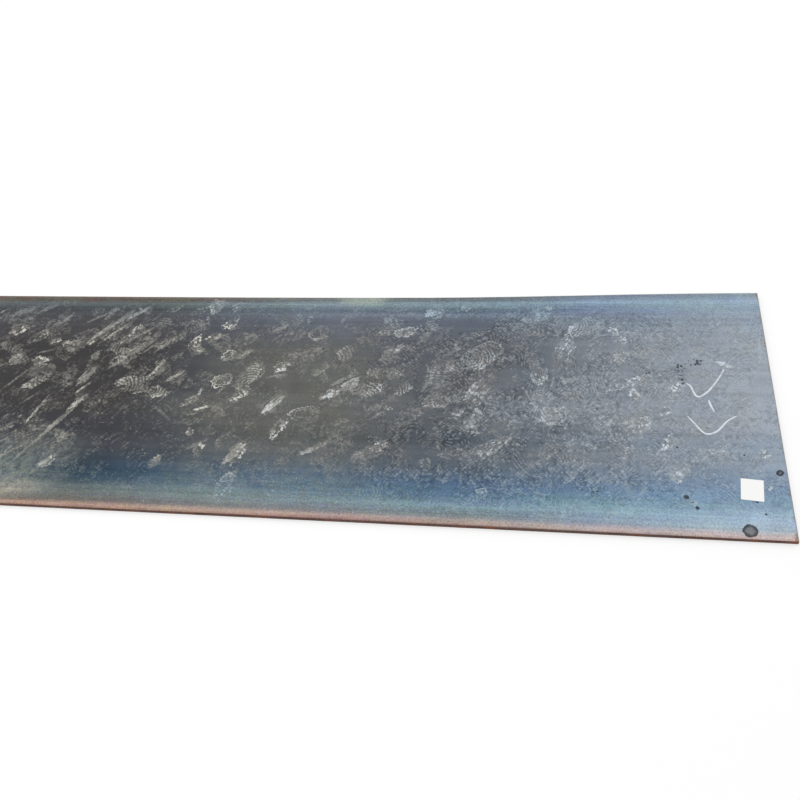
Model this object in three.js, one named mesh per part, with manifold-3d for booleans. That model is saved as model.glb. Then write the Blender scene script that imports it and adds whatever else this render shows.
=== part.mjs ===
// Hot-rolled steel plate, lying flat, with the paper stock label stuck on its top face.
// Millimetres, +Z up. The origin is the middle of the underside, +X runs along the plate
// and +Y across it.
//
// The two long sides are mill edges, left as the rolls left them: a barrelled side between
// two rounded arrises. The far one is drawn in by the rolling, which leaves a long shallow
// waist. The two ends are sheared, and each shows the rollover, the bright land and the
// leaning break that a guillotine blade leaves. One cut makes the front end of one plate
// and the back end of the next, so the two ends are each other's upside-down copy.

import * as THREE from 'three';
import * as BufferGeometryUtils from 'three/addons/utils/BufferGeometryUtils.js';
import Module from 'manifold-3d';

// Plate
const PLATE_LENGTH = 6000;
const PLATE_WIDTH = 1500;
const PLATE_THICKNESS = 25;

// Mill edge, in section: each arris is a quarter ellipse and the side between is barrelled
const ARRIS_REACH = 5;
const ARRIS_DROP = 4;
const EDGE_BULGE = 1.6;

// Waist of the far mill edge: its greatest depth, and how far that lies from the +X end
const WAIST_DEPTH = 32;
const WAIST_FROM_END = 1800;

// Sheared end, in side view: rollover where the blade enters, bright land, leaning break
const ROLLOVER_REACH = 4;
const ROLLOVER_DROP = 2;
const LAND_HEIGHT = 8;
const BREAK_SETBACK = 2;

// Label: its size, its centre's distance from the +X end and the near edge, and its turn
const LABEL_LENGTH = 95;
const LABEL_WIDTH = 112;
const LABEL_THICKNESS = 0.3;
const LABEL_CORNER = 3;
const LABEL_FROM_END = 158;
const LABEL_FROM_EDGE = 252;
const LABEL_TURN = THREE.MathUtils.degToRad(-5);

// Fineness of the curves
const ARRIS_STEPS = 5;
const BARREL_STEPS = 6;
const ROLLOVER_STEPS = 5;
const STATION_SPACING = 250;

// How far the end trimming profile stands clear of the plate all round
const TRIM_CLEARANCE = 20;

const FAR = 1;
const NEAR = -1;

// One mill edge in section, from the top face round to the underside. Points are across
// the plate and up, with the barrel's crown at half the plate's width.
function millEdge(side) {
  const crown = PLATE_WIDTH / 2;
  const arrisFoot = crown - EDGE_BULGE;
  const quarter = Math.PI / 2;
  const topArris = new THREE.EllipseCurve(
    arrisFoot - ARRIS_REACH, PLATE_THICKNESS - ARRIS_DROP, ARRIS_REACH, ARRIS_DROP, quarter, 0, true);
  const barrel = new THREE.QuadraticBezierCurve(
    new THREE.Vector2(arrisFoot, PLATE_THICKNESS - ARRIS_DROP),
    new THREE.Vector2(crown + EDGE_BULGE, PLATE_THICKNESS / 2),
    new THREE.Vector2(arrisFoot, ARRIS_DROP));
  const bottomArris = new THREE.EllipseCurve(
    arrisFoot - ARRIS_REACH, ARRIS_DROP, ARRIS_REACH, ARRIS_DROP, 0, -quarter, true);
  const points = [
    ...topArris.getPoints(ARRIS_STEPS),
    ...barrel.getPoints(BARREL_STEPS).slice(1),
    ...bottomArris.getPoints(ARRIS_STEPS).slice(1),
  ];
  return points.map((point) => new THREE.Vector2(side * point.x, point.y));
}

// Depth of the far edge's waist at a place along the plate: a raised cosine that is zero at
// both ends and deepest at the waist's own place.
function waistDepth(x) {
  const waistX = PLATE_LENGTH / 2 - WAIST_FROM_END;
  const end = x > waistX ? PLATE_LENGTH / 2 : -PLATE_LENGTH / 2;
  const share = (x - end) / (waistX - end);
  return WAIST_DEPTH * (1 - Math.cos(Math.PI * share)) / 2;
}

// The rolled strip: the section run along the plate, with its far side drawn in.
function rolledStrip() {
  const section = new THREE.Shape([...millEdge(FAR), ...millEdge(NEAR).reverse()]);
  const strip = new THREE.ExtrudeGeometry(section, {
    depth: PLATE_LENGTH,
    steps: Math.ceil(PLATE_LENGTH / STATION_SPACING),
    bevelEnabled: false,
  });
  strip.translate(0, 0, -PLATE_LENGTH / 2);
  const across = new THREE.Vector3(0, 1, 0);
  const up = new THREE.Vector3(0, 0, 1);
  const along = new THREE.Vector3(1, 0, 0);
  strip.applyMatrix4(new THREE.Matrix4().makeBasis(across, up, along));
  const position = strip.attributes.position;
  for (let i = 0; i < position.count; i += 1) {
    if (position.getY(i) > 0) {
      position.setY(i, position.getY(i) - waistDepth(position.getX(i)));
    }
  }
  return strip;
}

// A sheared end in side view, at the +X end with the rollover on top: points along the
// plate and up, from above the top face down to below the underside.
function shearedEnd() {
  const end = PLATE_LENGTH / 2;
  const rollover = new THREE.EllipseCurve(
    end - ROLLOVER_REACH, PLATE_THICKNESS - ROLLOVER_DROP,
    ROLLOVER_REACH, ROLLOVER_DROP, Math.PI / 2, 0, true);
  return [
    new THREE.Vector2(end - ROLLOVER_REACH, PLATE_THICKNESS + TRIM_CLEARANCE),
    ...rollover.getPoints(ROLLOVER_STEPS),
    new THREE.Vector2(end, PLATE_THICKNESS - ROLLOVER_DROP - LAND_HEIGHT),
    new THREE.Vector2(end - BREAK_SETBACK, 0),
    new THREE.Vector2(end - BREAK_SETBACK, -TRIM_CLEARANCE),
  ];
}

// The profile that trims both ends of the strip. The -X end is the +X end turned half a
// turn about the plate's middle, so its rollover is on the underside.
function endTrim() {
  const front = shearedEnd();
  const back = front.map((point) => new THREE.Vector2(-point.x, PLATE_THICKNESS - point.y));
  const depth = PLATE_WIDTH + 2 * TRIM_CLEARANCE;
  const trim = new THREE.ExtrudeGeometry(new THREE.Shape([...front, ...back]), {
    depth,
    bevelEnabled: false,
  });
  trim.translate(0, 0, -depth / 2);
  const along = new THREE.Vector3(1, 0, 0);
  const up = new THREE.Vector3(0, 0, 1);
  const toNear = new THREE.Vector3(0, -1, 0);
  trim.applyMatrix4(new THREE.Matrix4().makeBasis(along, up, toNear));
  return trim;
}

const wasm = await Module();
wasm.setup();

function toManifold(geometry) {
  const bare = geometry.clone();
  bare.deleteAttribute('normal');
  bare.deleteAttribute('uv');
  const merged = BufferGeometryUtils.mergeVertices(bare);
  return new wasm.Manifold(new wasm.Mesh({
    numProp: 3,
    vertProperties: new Float32Array(merged.attributes.position.array),
    triVerts: new Uint32Array(merged.index.array),
  }));
}

function toGeometry(solid) {
  const mesh = solid.getMesh();
  const geometry = new THREE.BufferGeometry();
  geometry.setAttribute('position', new THREE.BufferAttribute(mesh.vertProperties, 3));
  geometry.setIndex(new THREE.BufferAttribute(mesh.triVerts, 1));
  geometry.computeVertexNormals();
  return geometry;
}

function steelPlate() {
  const plate = toManifold(rolledStrip()).intersect(toManifold(endTrim()));
  const millScale = new THREE.MeshStandardMaterial({
    color: 0x5b626b,
    roughness: 0.55,
    metalness: 0.6,
    flatShading: true,
  });
  const mesh = new THREE.Mesh(toGeometry(plate), millScale);
  mesh.name = 'steel_plate';
  return mesh;
}

// A rectangle with rounded corners, centred on the origin.
function roundedRectangle(length, width, corner) {
  const x = length / 2;
  const y = width / 2;
  const quarter = Math.PI / 2;
  const outline = new THREE.Shape();
  outline.absarc(x - corner, y - corner, corner, 0, quarter);
  outline.absarc(corner - x, y - corner, corner, quarter, 2 * quarter);
  outline.absarc(corner - x, corner - y, corner, 2 * quarter, 3 * quarter);
  outline.absarc(x - corner, corner - y, corner, 3 * quarter, 4 * quarter);
  return outline;
}

function stockLabel() {
  const outline = roundedRectangle(LABEL_LENGTH, LABEL_WIDTH, LABEL_CORNER);
  const sheet = new THREE.ExtrudeGeometry(outline, {
    depth: LABEL_THICKNESS,
    bevelEnabled: false,
    curveSegments: 5,
  });
  const paper = new THREE.MeshStandardMaterial({
    color: 0xf4f4f1,
    roughness: 0.85,
    metalness: 0,
  });
  const mesh = new THREE.Mesh(sheet, paper);
  mesh.name = 'stock_label';
  mesh.position.set(
    PLATE_LENGTH / 2 - LABEL_FROM_END,
    LABEL_FROM_EDGE - PLATE_WIDTH / 2,
    PLATE_THICKNESS);
  mesh.rotation.z = LABEL_TURN;
  return mesh;
}

const part = new THREE.Group();
part.add(steelPlate());
part.add(stockLabel());

export default part;
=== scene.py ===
"""Hot-rolled steel plate with mill edges, sheared ends, dusty shoe prints and a paper label."""
import math
import random

import bmesh
import bpy
import numpy as np
from mathutils import Matrix, Vector, noise


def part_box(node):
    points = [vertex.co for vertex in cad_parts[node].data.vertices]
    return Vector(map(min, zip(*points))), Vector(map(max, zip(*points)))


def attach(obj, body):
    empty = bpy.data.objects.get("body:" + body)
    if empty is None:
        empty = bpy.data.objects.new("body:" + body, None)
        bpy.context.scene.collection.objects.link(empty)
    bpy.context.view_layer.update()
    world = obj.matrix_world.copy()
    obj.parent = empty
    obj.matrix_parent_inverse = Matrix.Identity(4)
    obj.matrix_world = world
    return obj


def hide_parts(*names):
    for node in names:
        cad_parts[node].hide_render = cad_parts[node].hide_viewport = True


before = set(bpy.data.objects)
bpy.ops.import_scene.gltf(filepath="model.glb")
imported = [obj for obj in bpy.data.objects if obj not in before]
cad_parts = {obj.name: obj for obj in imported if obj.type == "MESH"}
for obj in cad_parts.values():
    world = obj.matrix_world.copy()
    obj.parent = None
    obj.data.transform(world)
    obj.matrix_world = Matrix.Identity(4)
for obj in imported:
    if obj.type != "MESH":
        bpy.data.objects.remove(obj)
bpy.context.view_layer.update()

# ---------------------------------------------------------------------------------------
# Sizes, in metres. The plate's own come from the frame.
# ---------------------------------------------------------------------------------------
PLATE_LOW, PLATE_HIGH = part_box("steel_plate")
LENGTH = PLATE_HIGH.x - PLATE_LOW.x
WIDTH = PLATE_HIGH.y - PLATE_LOW.y
THICKNESS = PLATE_HIGH.z - PLATE_LOW.z
END_X = LENGTH / 2
SIDE_Y = WIDTH / 2

ARRIS_REACH = 0.005
ARRIS_DROP = 0.004
EDGE_BULGE = 0.0016
WAIST_DEPTH = 0.032
WAIST_X = END_X - 1.8
ROLLOVER_REACH = 0.004
ROLLOVER_DROP = 0.002
LAND_HEIGHT = 0.008
BREAK_SETBACK = 0.002

FACE_STEP = 0.012
MILL_WANDER = 0.0009
SHEAR_CHATTER = 0.0003
SHARP_FROM = math.radians(35)

# Heights of the rings that run round the rim, from the top face down, as shares of the
# thickness. They are close together where the arrises and rollovers turn.
RIM_SHARES = (0.988, 0.964, 0.92, 0.84, 0.76, 0.66, 0.6, 0.5, 0.4, 0.34, 0.24, 0.16, 0.08,
              0.036, 0.012, 0.0)

# Camera, beside the near mill edge towards the labelled end, looking down and across
CAMERA_PLACE = (2.058, -2.818, 3.376)
CAMERA_HEADING = math.radians(16.9)
CAMERA_DIP = math.radians(49.0)
CAMERA_ROLL = math.radians(11.7)
CAMERA_SIGHT = 200.0
FOCAL_PIXELS = 880
FRAME_PIXELS = 800
SENSOR_MM = 36

random.seed(1749)


def srgb(red, green, blue):
    """A colour written as 0 to 255 screen values, as the linear value that sockets hold."""
    def linear(value):
        share = value / 255
        if share <= 0.04045:
            return share / 12.92
        return ((share + 0.055) / 1.055) ** 2.4
    return (linear(red), linear(green), linear(blue), 1.0)


# ---------------------------------------------------------------------------------------
# Node building
# ---------------------------------------------------------------------------------------
class Graph:
    """Adds nodes to one node tree and links each one as it is added."""

    def __init__(self, tree):
        self.tree = tree

    def put(self, socket, value):
        if isinstance(value, bpy.types.NodeSocket):
            self.tree.links.new(value, socket)
        else:
            socket.default_value = value

    def add(self, kind, values=(), **settings):
        node = self.tree.nodes.new(kind)
        for name, value in settings.items():
            setattr(node, name, value)
        for name, value in dict(values).items():
            self.put(node.inputs[name], value)
        return node

    def object_place(self):
        return self.add("ShaderNodeTexCoord").outputs["Object"]

    def attribute(self, name):
        return self.add("ShaderNodeAttribute", attribute_name=name).outputs

    def math(self, operation, *values):
        node = self.add("ShaderNodeMath", dict(enumerate(values)), operation=operation)
        return node.outputs[0]

    def plus(self, first, second):
        return self.math("ADD", first, second)

    def minus(self, first, second):
        return self.math("SUBTRACT", first, second)

    def rest(self, share):
        """What a share leaves of 1."""
        return self.minus(1.0, share)

    def product(self, first, *others):
        for other in others:
            first = self.math("MULTIPLY", first, other)
        return first

    def line(self, value, slope, start):
        """A straight line over the value: its slope, and its start where the value is 0."""
        return self.math("MULTIPLY_ADD", value, slope, start)

    def size(self, value):
        return self.math("ABSOLUTE", value)

    def gap(self, value, middle):
        """How far a value is from a middle, either way."""
        return self.size(self.minus(value, middle))

    def distance(self, x, y):
        """How far a place in a plane is from the middle."""
        return self.math("SQRT", self.plus(
            self.math("POWER", x, 2.0), self.math("POWER", y, 2.0)))

    def waves(self, value, pitch):
        """Waves from -1 to 1, one for each pitch of a value."""
        turns = self.math("DIVIDE", value, pitch)
        return self.math("SINE", self.product(turns, 2 * math.pi))

    def vector_math(self, operation, *values):
        node = self.add("ShaderNodeVectorMath", dict(enumerate(values)), operation=operation)
        return node.outputs["Value" if operation == "LENGTH" else "Vector"]

    def span(self, value, low, high, to_low, to_high, **settings):
        node = self.add("ShaderNodeMapRange", {
            "Value": value, "From Min": low, "From Max": high,
            "To Min": to_low, "To Max": to_high}, **settings)
        return node.outputs[0]

    def step(self, value, low, high, to_low=0.0, to_high=1.0):
        """A smooth step from to_low to to_high while the value goes from low to high."""
        return self.span(value, low, high, to_low, to_high, interpolation_type="SMOOTHSTEP")

    def scaled(self, value, low, high, to_low, to_high):
        """A straight slope from to_low to to_high, level beyond them."""
        return self.span(value, low, high, to_low, to_high, clamp=True)

    def spread(self, value, to_low=-1.0, to_high=1.0):
        """Noise, most of which lies between 0.3 and 0.7, spread out from to_low to to_high."""
        return self.scaled(value, 0.3, 0.7, to_low, to_high)

    def split(self, vector):
        return self.add("ShaderNodeSeparateXYZ", {"Vector": vector}).outputs

    def join(self, x, y, z=0.0):
        return self.add("ShaderNodeCombineXYZ", {"X": x, "Y": y, "Z": z}).outputs[0]

    def stretched(self, vector, scale):
        return self.add("ShaderNodeMapping", {"Vector": vector, "Scale": scale}).outputs[0]

    def turned(self, vector, degrees):
        return self.add("ShaderNodeMapping", {
            "Vector": vector, "Rotation": (0.0, 0.0, math.radians(degrees))}).outputs[0]

    def noise(self, vector, scale, detail=2.0, roughness=0.5, dimensions="3D"):
        """Noise at one scale, or drawn out by a scale of its own along each axis."""
        if isinstance(scale, tuple):
            vector = self.stretched(vector, scale)
            scale = 1.0
        node = self.add("ShaderNodeTexNoise", noise_dimensions=dimensions)
        for name, value in (("Vector", vector), ("Scale", scale), ("Detail", detail),
                            ("Roughness", roughness)):
            self.put(node.inputs[name], value)
        return node.outputs["Fac"]

    def flat_noise(self, vector, scale, detail=2.0, roughness=0.5):
        return self.noise(vector, scale, detail, roughness, "2D")

    def flat_cells(self, vector, scale, randomness=1.0):
        """Cells in a plane: how far a place is from its cell's point, and a random share."""
        node = self.add("ShaderNodeTexVoronoi", {"Scale": scale, "Randomness": randomness},
                        voronoi_dimensions="2D")
        self.put(node.inputs["Vector"], vector)
        return node.outputs["Distance"], self.split(node.outputs["Color"])["X"]

    def mix(self, factor, first, second, blend="MIX"):
        node = self.add("ShaderNodeMix", data_type="RGBA", blend_type=blend)
        self.put(node.inputs[0], factor)
        self.put(node.inputs[6], first)
        self.put(node.inputs[7], second)
        return node.outputs[2]

    def shaded(self, colour, red, green, blue):
        """A colour with its red, green and blue each made stronger or weaker."""
        return self.mix(1.0, colour, self.join(red, green, blue), "MULTIPLY")

    def ramp(self, factor, stops):
        """A colour ramp. Its stops are (place from 0 to 1, colour)."""
        node = self.add("ShaderNodeValToRGB", {"Fac": factor})
        marks = node.color_ramp.elements
        marks[0].position, marks[0].color = stops[0]
        marks[1].position, marks[1].color = stops[-1]
        for place, colour in stops[1:-1]:
            marks.new(place).color = colour
        return node.outputs["Color"]

    def group(self, tree, **values):
        node = self.add("ShaderNodeGroup", node_tree=tree)
        for name, value in values.items():
            self.put(node.inputs[name], value)
        return node.outputs


FLOAT, VECTOR, COLOUR = "NodeSocketFloat", "NodeSocketVector", "NodeSocketColor"


def node_group(name, inputs, outputs):
    """An empty shader group: its tree, a graph to fill it, its inputs and its results."""
    tree = bpy.data.node_groups.new(name, "ShaderNodeTree")
    for label, kind in inputs:
        tree.interface.new_socket(label, in_out="INPUT", socket_type=kind)
    for label, kind in outputs:
        tree.interface.new_socket(label, in_out="OUTPUT", socket_type=kind)
    graph = Graph(tree)
    given = graph.add("NodeGroupInput").outputs
    return tree, graph, given, graph.add("NodeGroupOutput").inputs


def new_material(name):
    """A material with a bare Principled shader: the material, its graph, its shader and
    each point's place on the object."""
    material = bpy.data.materials.new(name)
    material.use_nodes = True
    graph = Graph(material.node_tree)
    shader = material.node_tree.nodes["Principled BSDF"]
    return material, graph, shader, graph.object_place()


def finish(graph, shader, colour, roughness, metallic=0.0, gloss=0.5):
    """Gives a Principled shader its colour, roughness, metalness and specular level."""
    for name, value in (("Base Color", colour), ("Roughness", roughness),
                        ("Metallic", metallic), ("Specular IOR Level", gloss)):
        graph.put(shader.inputs[name], value)


def roughen(graph, shader, strength, depth, relief):
    """Bumps a shader's surface by a relief that is so many metres deep."""
    bump = graph.add("ShaderNodeBump", {
        "Strength": strength, "Distance": depth, "Height": relief})
    graph.put(shader.inputs["Normal"], bump.outputs["Normal"])


# ---------------------------------------------------------------------------------------
# Meshes and objects
# ---------------------------------------------------------------------------------------
def mesh_of(shape, name):
    """The mesh of a finished bmesh."""
    mesh = bpy.data.meshes.new(name)
    shape.to_mesh(mesh)
    shape.free()
    return mesh


def put_in_scene(name, data):
    """An object in the scene that holds a mesh, a lamp or a camera."""
    placed = bpy.data.objects.new(name, data)
    bpy.context.scene.collection.objects.link(placed)
    return placed


# ---------------------------------------------------------------------------------------
# Shoe prints and marks on the top face
# Each is (x, y, length, width, turn in degrees, strength): its middle on the plate, its
# size, how far its long way is turned from the plate's, and how dusty it is. The label is
# at the end where x is greatest, and the far end is the other one.
# ---------------------------------------------------------------------------------------
BLOCK_PRINTS = (
    (-1.145, 0.452, 0.14, 0.07, 42, 0.75), (-0.99, 0.392, 0.12, 0.085, 36, 0.55),
    (-0.873, 0.357, 0.07, 0.05, 58, 0.65), (-0.753, 0.327, 0.11, 0.085, 35, 0.55),
    (-0.644, 0.352, 0.055, 0.045, 52, 0.7), (-0.41, 0.41, 0.16, 0.08, 56, 0.65),
    (-0.585, 0.24, 0.09, 0.06, 60, 0.35), (-0.908, 0.204, 0.10, 0.065, 36, 0.85),
    (-0.853, 0.051, 0.19, 0.065, 45, 0.65), (-0.46, -0.10, 0.11, 0.09, 60, 0.3),
    (-0.65, -0.12, 0.09, 0.05, 0, 0.25), (-0.877, -0.258, 0.06, 0.045, 63, 0.55),
    (-0.34, 0.06, 0.09, 0.06, 10, 0.4), (-0.005, 0.35, 0.11, 0.07, 65, 0.85),
    (0.096, 0.399, 0.13, 0.06, 43, 0.7), (0.167, 0.51, 0.13, 0.065, 75, 1.0),
    (0.005, 0.515, 0.07, 0.05, 80, 0.5), (0.358, -0.006, 0.12, 0.07, 35, 0.9),
    (0.091, -0.068, 0.10, 0.055, 48, 0.7), (0.232, -0.381, 0.08, 0.06, 62, 0.65),
    (0.151, -0.275, 0.06, 0.045, 57, 0.85), (0.245, -0.225, 0.05, 0.03, 0, 0.4),
    (0.431, -0.543, 0.12, 0.05, 26, 0.75), (0.55, 0.205, 0.05, 0.035, 60, 0.95),
    (1.06, 0.44, 0.07, 0.055, 0, 0.7), (1.175, 0.445, 0.12, 0.065, 15, 0.5),
    (1.22, 0.33, 0.06, 0.05, 30, 0.55), (1.42, 0.37, 0.05, 0.045, 0, 0.4),
    (1.47, 0.36, 0.08, 0.05, 80, 0.5), (0.895, 0.035, 0.20, 0.085, 38, 0.7),
    (1.15, -0.09, 0.05, 0.04, 0, 0.6), (1.10, -0.125, 0.05, 0.03, 0, 0.45),
    (1.05, -0.085, 0.05, 0.045, 0, 0.4), (1.505, -0.11, 0.07, 0.06, 0, 0.65),
    (1.59, -0.20, 0.07, 0.06, 0, 0.5), (1.215, -0.165, 0.04, 0.035, 0, 0.5),
    (1.32, 0.60, 0.11, 0.08, 40, 0.7), (1.48, 0.63, 0.05, 0.04, 0, 0.4),
    (1.665, -0.575, 0.07, 0.06, 0, 0.7), (1.485, -0.50, 0.05, 0.04, 80, 0.4),
    (1.545, 0.12, 0.05, 0.04, 0, 0.5), (1.89, 0.57, 0.09, 0.06, 0, 0.5),
    (2.271, 0.453, 0.09, 0.04, -48, 0.95), (2.31, 0.396, 0.065, 0.045, -55, 0.85),
    (1.79, 0.335, 0.06, 0.05, 0, 0.4), (1.70, 0.245, 0.05, 0.04, 0, 0.4),
    (1.78, 0.13, 0.06, 0.04, 70, 0.4), (2.04, 0.115, 0.06, 0.05, 0, 0.5),
    (2.225, 0.07, 0.06, 0.05, 30, 0.4), (2.365, 0.129, 0.08, 0.055, 42, 1.0),
    (2.36, 0.032, 0.10, 0.05, -69, 1.0), (2.343, -0.142, 0.09, 0.045, 28, 0.5),
    (2.505, -0.25, 0.09, 0.06, 49, 0.95), (2.562, 0.084, 0.075, 0.055, 52, 1.0),
    (0.475, -0.545, 0.04, 0.03, 30, 0.6), (2.236, -0.655, 0.08, 0.05, 57, 0.6),
    (-0.05, 0.61, 0.10, 0.06, 30, 0.35), (0.05, 0.66, 0.12, 0.06, 20, 0.35),
    (-0.38, 0.61, 0.09, 0.06, 60, 0.3), (2.328, -0.29, 0.05, 0.04, 37, 0.6),
    (0.67, -0.62, 0.05, 0.04, 0, 0.5), (1.051, -0.394, 0.08, 0.05, 63, 0.35),
    (-0.509, 0.291, 0.06, 0.03, 33, 0.55), (-0.427, 0.22, 0.11, 0.06, 44, 0.55),
    (-1.053, 0.217, 0.11, 0.07, 49, 0.5), (-0.126, -0.032, 0.15, 0.03, 12, 0.7),
    (-0.201, 0.001, 0.08, 0.04, 23, 0.55), (-0.58, 0.206, 0.14, 0.05, 82, 0.4),
    (-0.565, -0.489, 0.10, 0.055, 56, 0.6), (0.027, -0.445, 0.065, 0.04, 34, 0.5),
    (-0.917, -0.198, 0.08, 0.03, 29, 0.35), (2.488, 0.144, 0.06, 0.05, 29, 0.45),
    (2.505, -0.06, 0.08, 0.06, 46, 0.95), (2.218, 0.048, 0.05, 0.04, 38, 0.7),
    (2.465, -0.046, 0.055, 0.045, 45, 0.5), (2.559, -0.415, 0.07, 0.05, 48, 0.55),
    (2.659, -0.427, 0.045, 0.04, 60, 0.6), (2.91, -0.295, 0.075, 0.05, 50, 0.8),
    (2.942, 0.365, 0.08, 0.05, 42, 0.5), (2.639, -0.633, 0.04, 0.035, 86, 0.6),
    (2.908, -0.485, 0.05, 0.035, 49, 0.85), (2.877, 0.015, 0.06, 0.045, 65, 0.35),
    (0.84, -0.002, 0.10, 0.05, 30, 0.8), (0.616, -0.227, 0.15, 0.065, 60, 0.8),
    (0.431, -0.397, 0.17, 0.07, 62, 0.65), (0.175, -0.107, 0.09, 0.022, 26, 0.85),
    (0.537, 0.188, 0.13, 0.06, 41, 1.0), (0.305, 0.28, 0.08, 0.05, 30, 0.45),
    (-0.60, 0.60, 0.10, 0.05, 40, 0.35), (-0.22, 0.62, 0.10, 0.05, 30, 0.4),
    (0.179, 0.643, 0.13, 0.06, 36, 0.45), (-0.69, 0.61, 0.09, 0.05, 40, 0.4),
    (0.279, 0.378, 0.16, 0.09, 40, 0.4),
)
DOT_PRINTS = (
    (-0.565, -0.50, 0.08, 0.05, 20, 0.55), (-0.90, 0.46, 0.17, 0.12, 0, 0.25),
    (-0.72, -0.35, 0.34, 0.17, 30, 0.3), (-0.53, -0.39, 0.16, 0.12, 20, 0.3),
    (0.275, 0.265, 0.10, 0.08, 60, 0.4), (0.425, -0.62, 0.12, 0.09, 70, 0.6),
    (0.30, -0.08, 0.13, 0.06, 30, 0.3), (0.865, 0.29, 0.10, 0.09, 0, 0.25),
    (0.665, 0.281, 0.20, 0.06, 16, 0.35), (1.06, 0.14, 0.10, 0.09, 30, 0.6),
    (1.15, 0.145, 0.09, 0.07, -20, 0.6), (1.13, 0.31, 0.12, 0.05, 45, 0.6),
    (1.29, 0.41, 0.09, 0.05, 30, 0.45), (1.36, 0.21, 0.11, 0.08, 40, 0.55),
    (1.38, 0.12, 0.12, 0.10, 0, 0.55), (1.40, -0.02, 0.17, 0.10, 20, 0.55),
    (1.52, 0.02, 0.16, 0.10, 30, 0.45), (1.61, 0.05, 0.21, 0.11, 55, 0.7),
    (1.30, -0.11, 0.12, 0.06, 0, 0.45), (1.11, -0.36, 0.15, 0.09, 20, 0.6),
    (0.92, -0.18, 0.10, 0.05, 20, 0.45), (0.81, -0.35, 0.10, 0.05, 30, 0.4),
    (0.86, 0.56, 0.06, 0.05, 0, 0.35), (1.52, -0.36, 0.12, 0.08, 0, 0.4),
    (1.69, -0.36, 0.12, 0.07, 0, 0.45), (1.889, 0.17, 0.186, 0.08, -64, 0.6),
    (2.011, 0.303, 0.269, 0.10, 66, 0.6), (1.92, 0.19, 0.05, 0.04, 0, 0.55),
    (1.85, 0.47, 0.13, 0.06, 80, 0.4), (2.16, 0.29, 0.08, 0.06, 0, 0.45),
    (2.29, 0.26, 0.06, 0.05, 0, 0.45), (2.33, -0.31, 0.08, 0.06, 20, 0.45),
    (1.80, -0.17, 0.08, 0.06, 0, 0.45), (2.04, 0.37, 0.08, 0.05, 60, 0.45),
    (2.69, -0.32, 0.15, 0.08, 0, 0.4), (2.80, -0.15, 0.10, 0.07, 0, 0.35),
    (2.87, 0.0, 0.08, 0.06, 60, 0.45), (0.45, 0.47, 0.13, 0.07, 20, 0.3),
    (0.02, -0.465, 0.08, 0.06, 0, 0.35), (1.535, -0.655, 0.06, 0.05, 0, 0.45),
    (1.93, -0.58, 0.06, 0.05, 0, 0.4), (2.2, -0.13, 0.12, 0.09, 0, 0.35),
    (2.15, -0.36, 0.11, 0.09, 0, 0.35), (0.28, -0.61, 0.07, 0.06, 0, 0.3),
    (2.68, 0.345, 0.06, 0.05, 0, 0.4), (1.937, -0.05, 0.30, 0.11, -62, 0.55),
    (1.586, -0.148, 0.135, 0.08, 69, 0.6), (2.163, 0.318, 0.15, 0.08, 53, 0.4),
    (2.219, -0.097, 0.19, 0.10, 47, 0.4), (1.657, -0.333, 0.24, 0.10, 35, 0.6),
    (1.922, -0.346, 0.22, 0.09, 34, 0.4), (2.118, -0.275, 0.18, 0.09, 33, 0.4),
    (1.874, 0.553, 0.136, 0.09, 38, 0.55), (1.323, 0.601, 0.12, 0.06, 30, 0.8),
    (1.89, 0.617, 0.12, 0.05, 20, 0.7), (1.49, 0.632, 0.06, 0.05, 0, 0.55),
    (1.613, 0.671, 0.06, 0.05, 0, 0.45), (0.30, 0.62, 0.10, 0.05, 30, 0.3),
    (-0.60, 0.42, 0.17, 0.08, 58, 0.35), (-0.47, 0.51, 0.14, 0.07, 50, 0.35),
    (2.29, 0.268, 0.11, 0.08, 45, 0.6), (2.66, 0.40, 0.13, 0.09, 30, 0.35),
    (2.62, -0.22, 0.15, 0.09, 50, 0.4), (2.42, 0.33, 0.14, 0.08, 40, 0.45),
    (2.26, 0.12, 0.16, 0.12, 40, 0.55), (2.42, 0.08, 0.16, 0.13, 50, 0.45),
    (2.36, -0.17, 0.15, 0.11, 20, 0.6), (2.67, -0.29, 0.18, 0.11, 30, 0.45),
    (2.54, -0.41, 0.12, 0.09, 40, 0.55), (2.93, 0.24, 0.10, 0.07, 60, 0.4),
    (2.09, -0.63, 0.12, 0.08, 20, 0.55), (2.70, 0.18, 0.08, 0.06, 60, 0.4),
    (0.037, 0.647, 0.12, 0.09, 60, 0.7), (0.62, 0.66, 0.12, 0.06, 30, 0.35),
    (2.588, -0.577, 0.05, 0.03, -40, 0.7),
)
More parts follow.
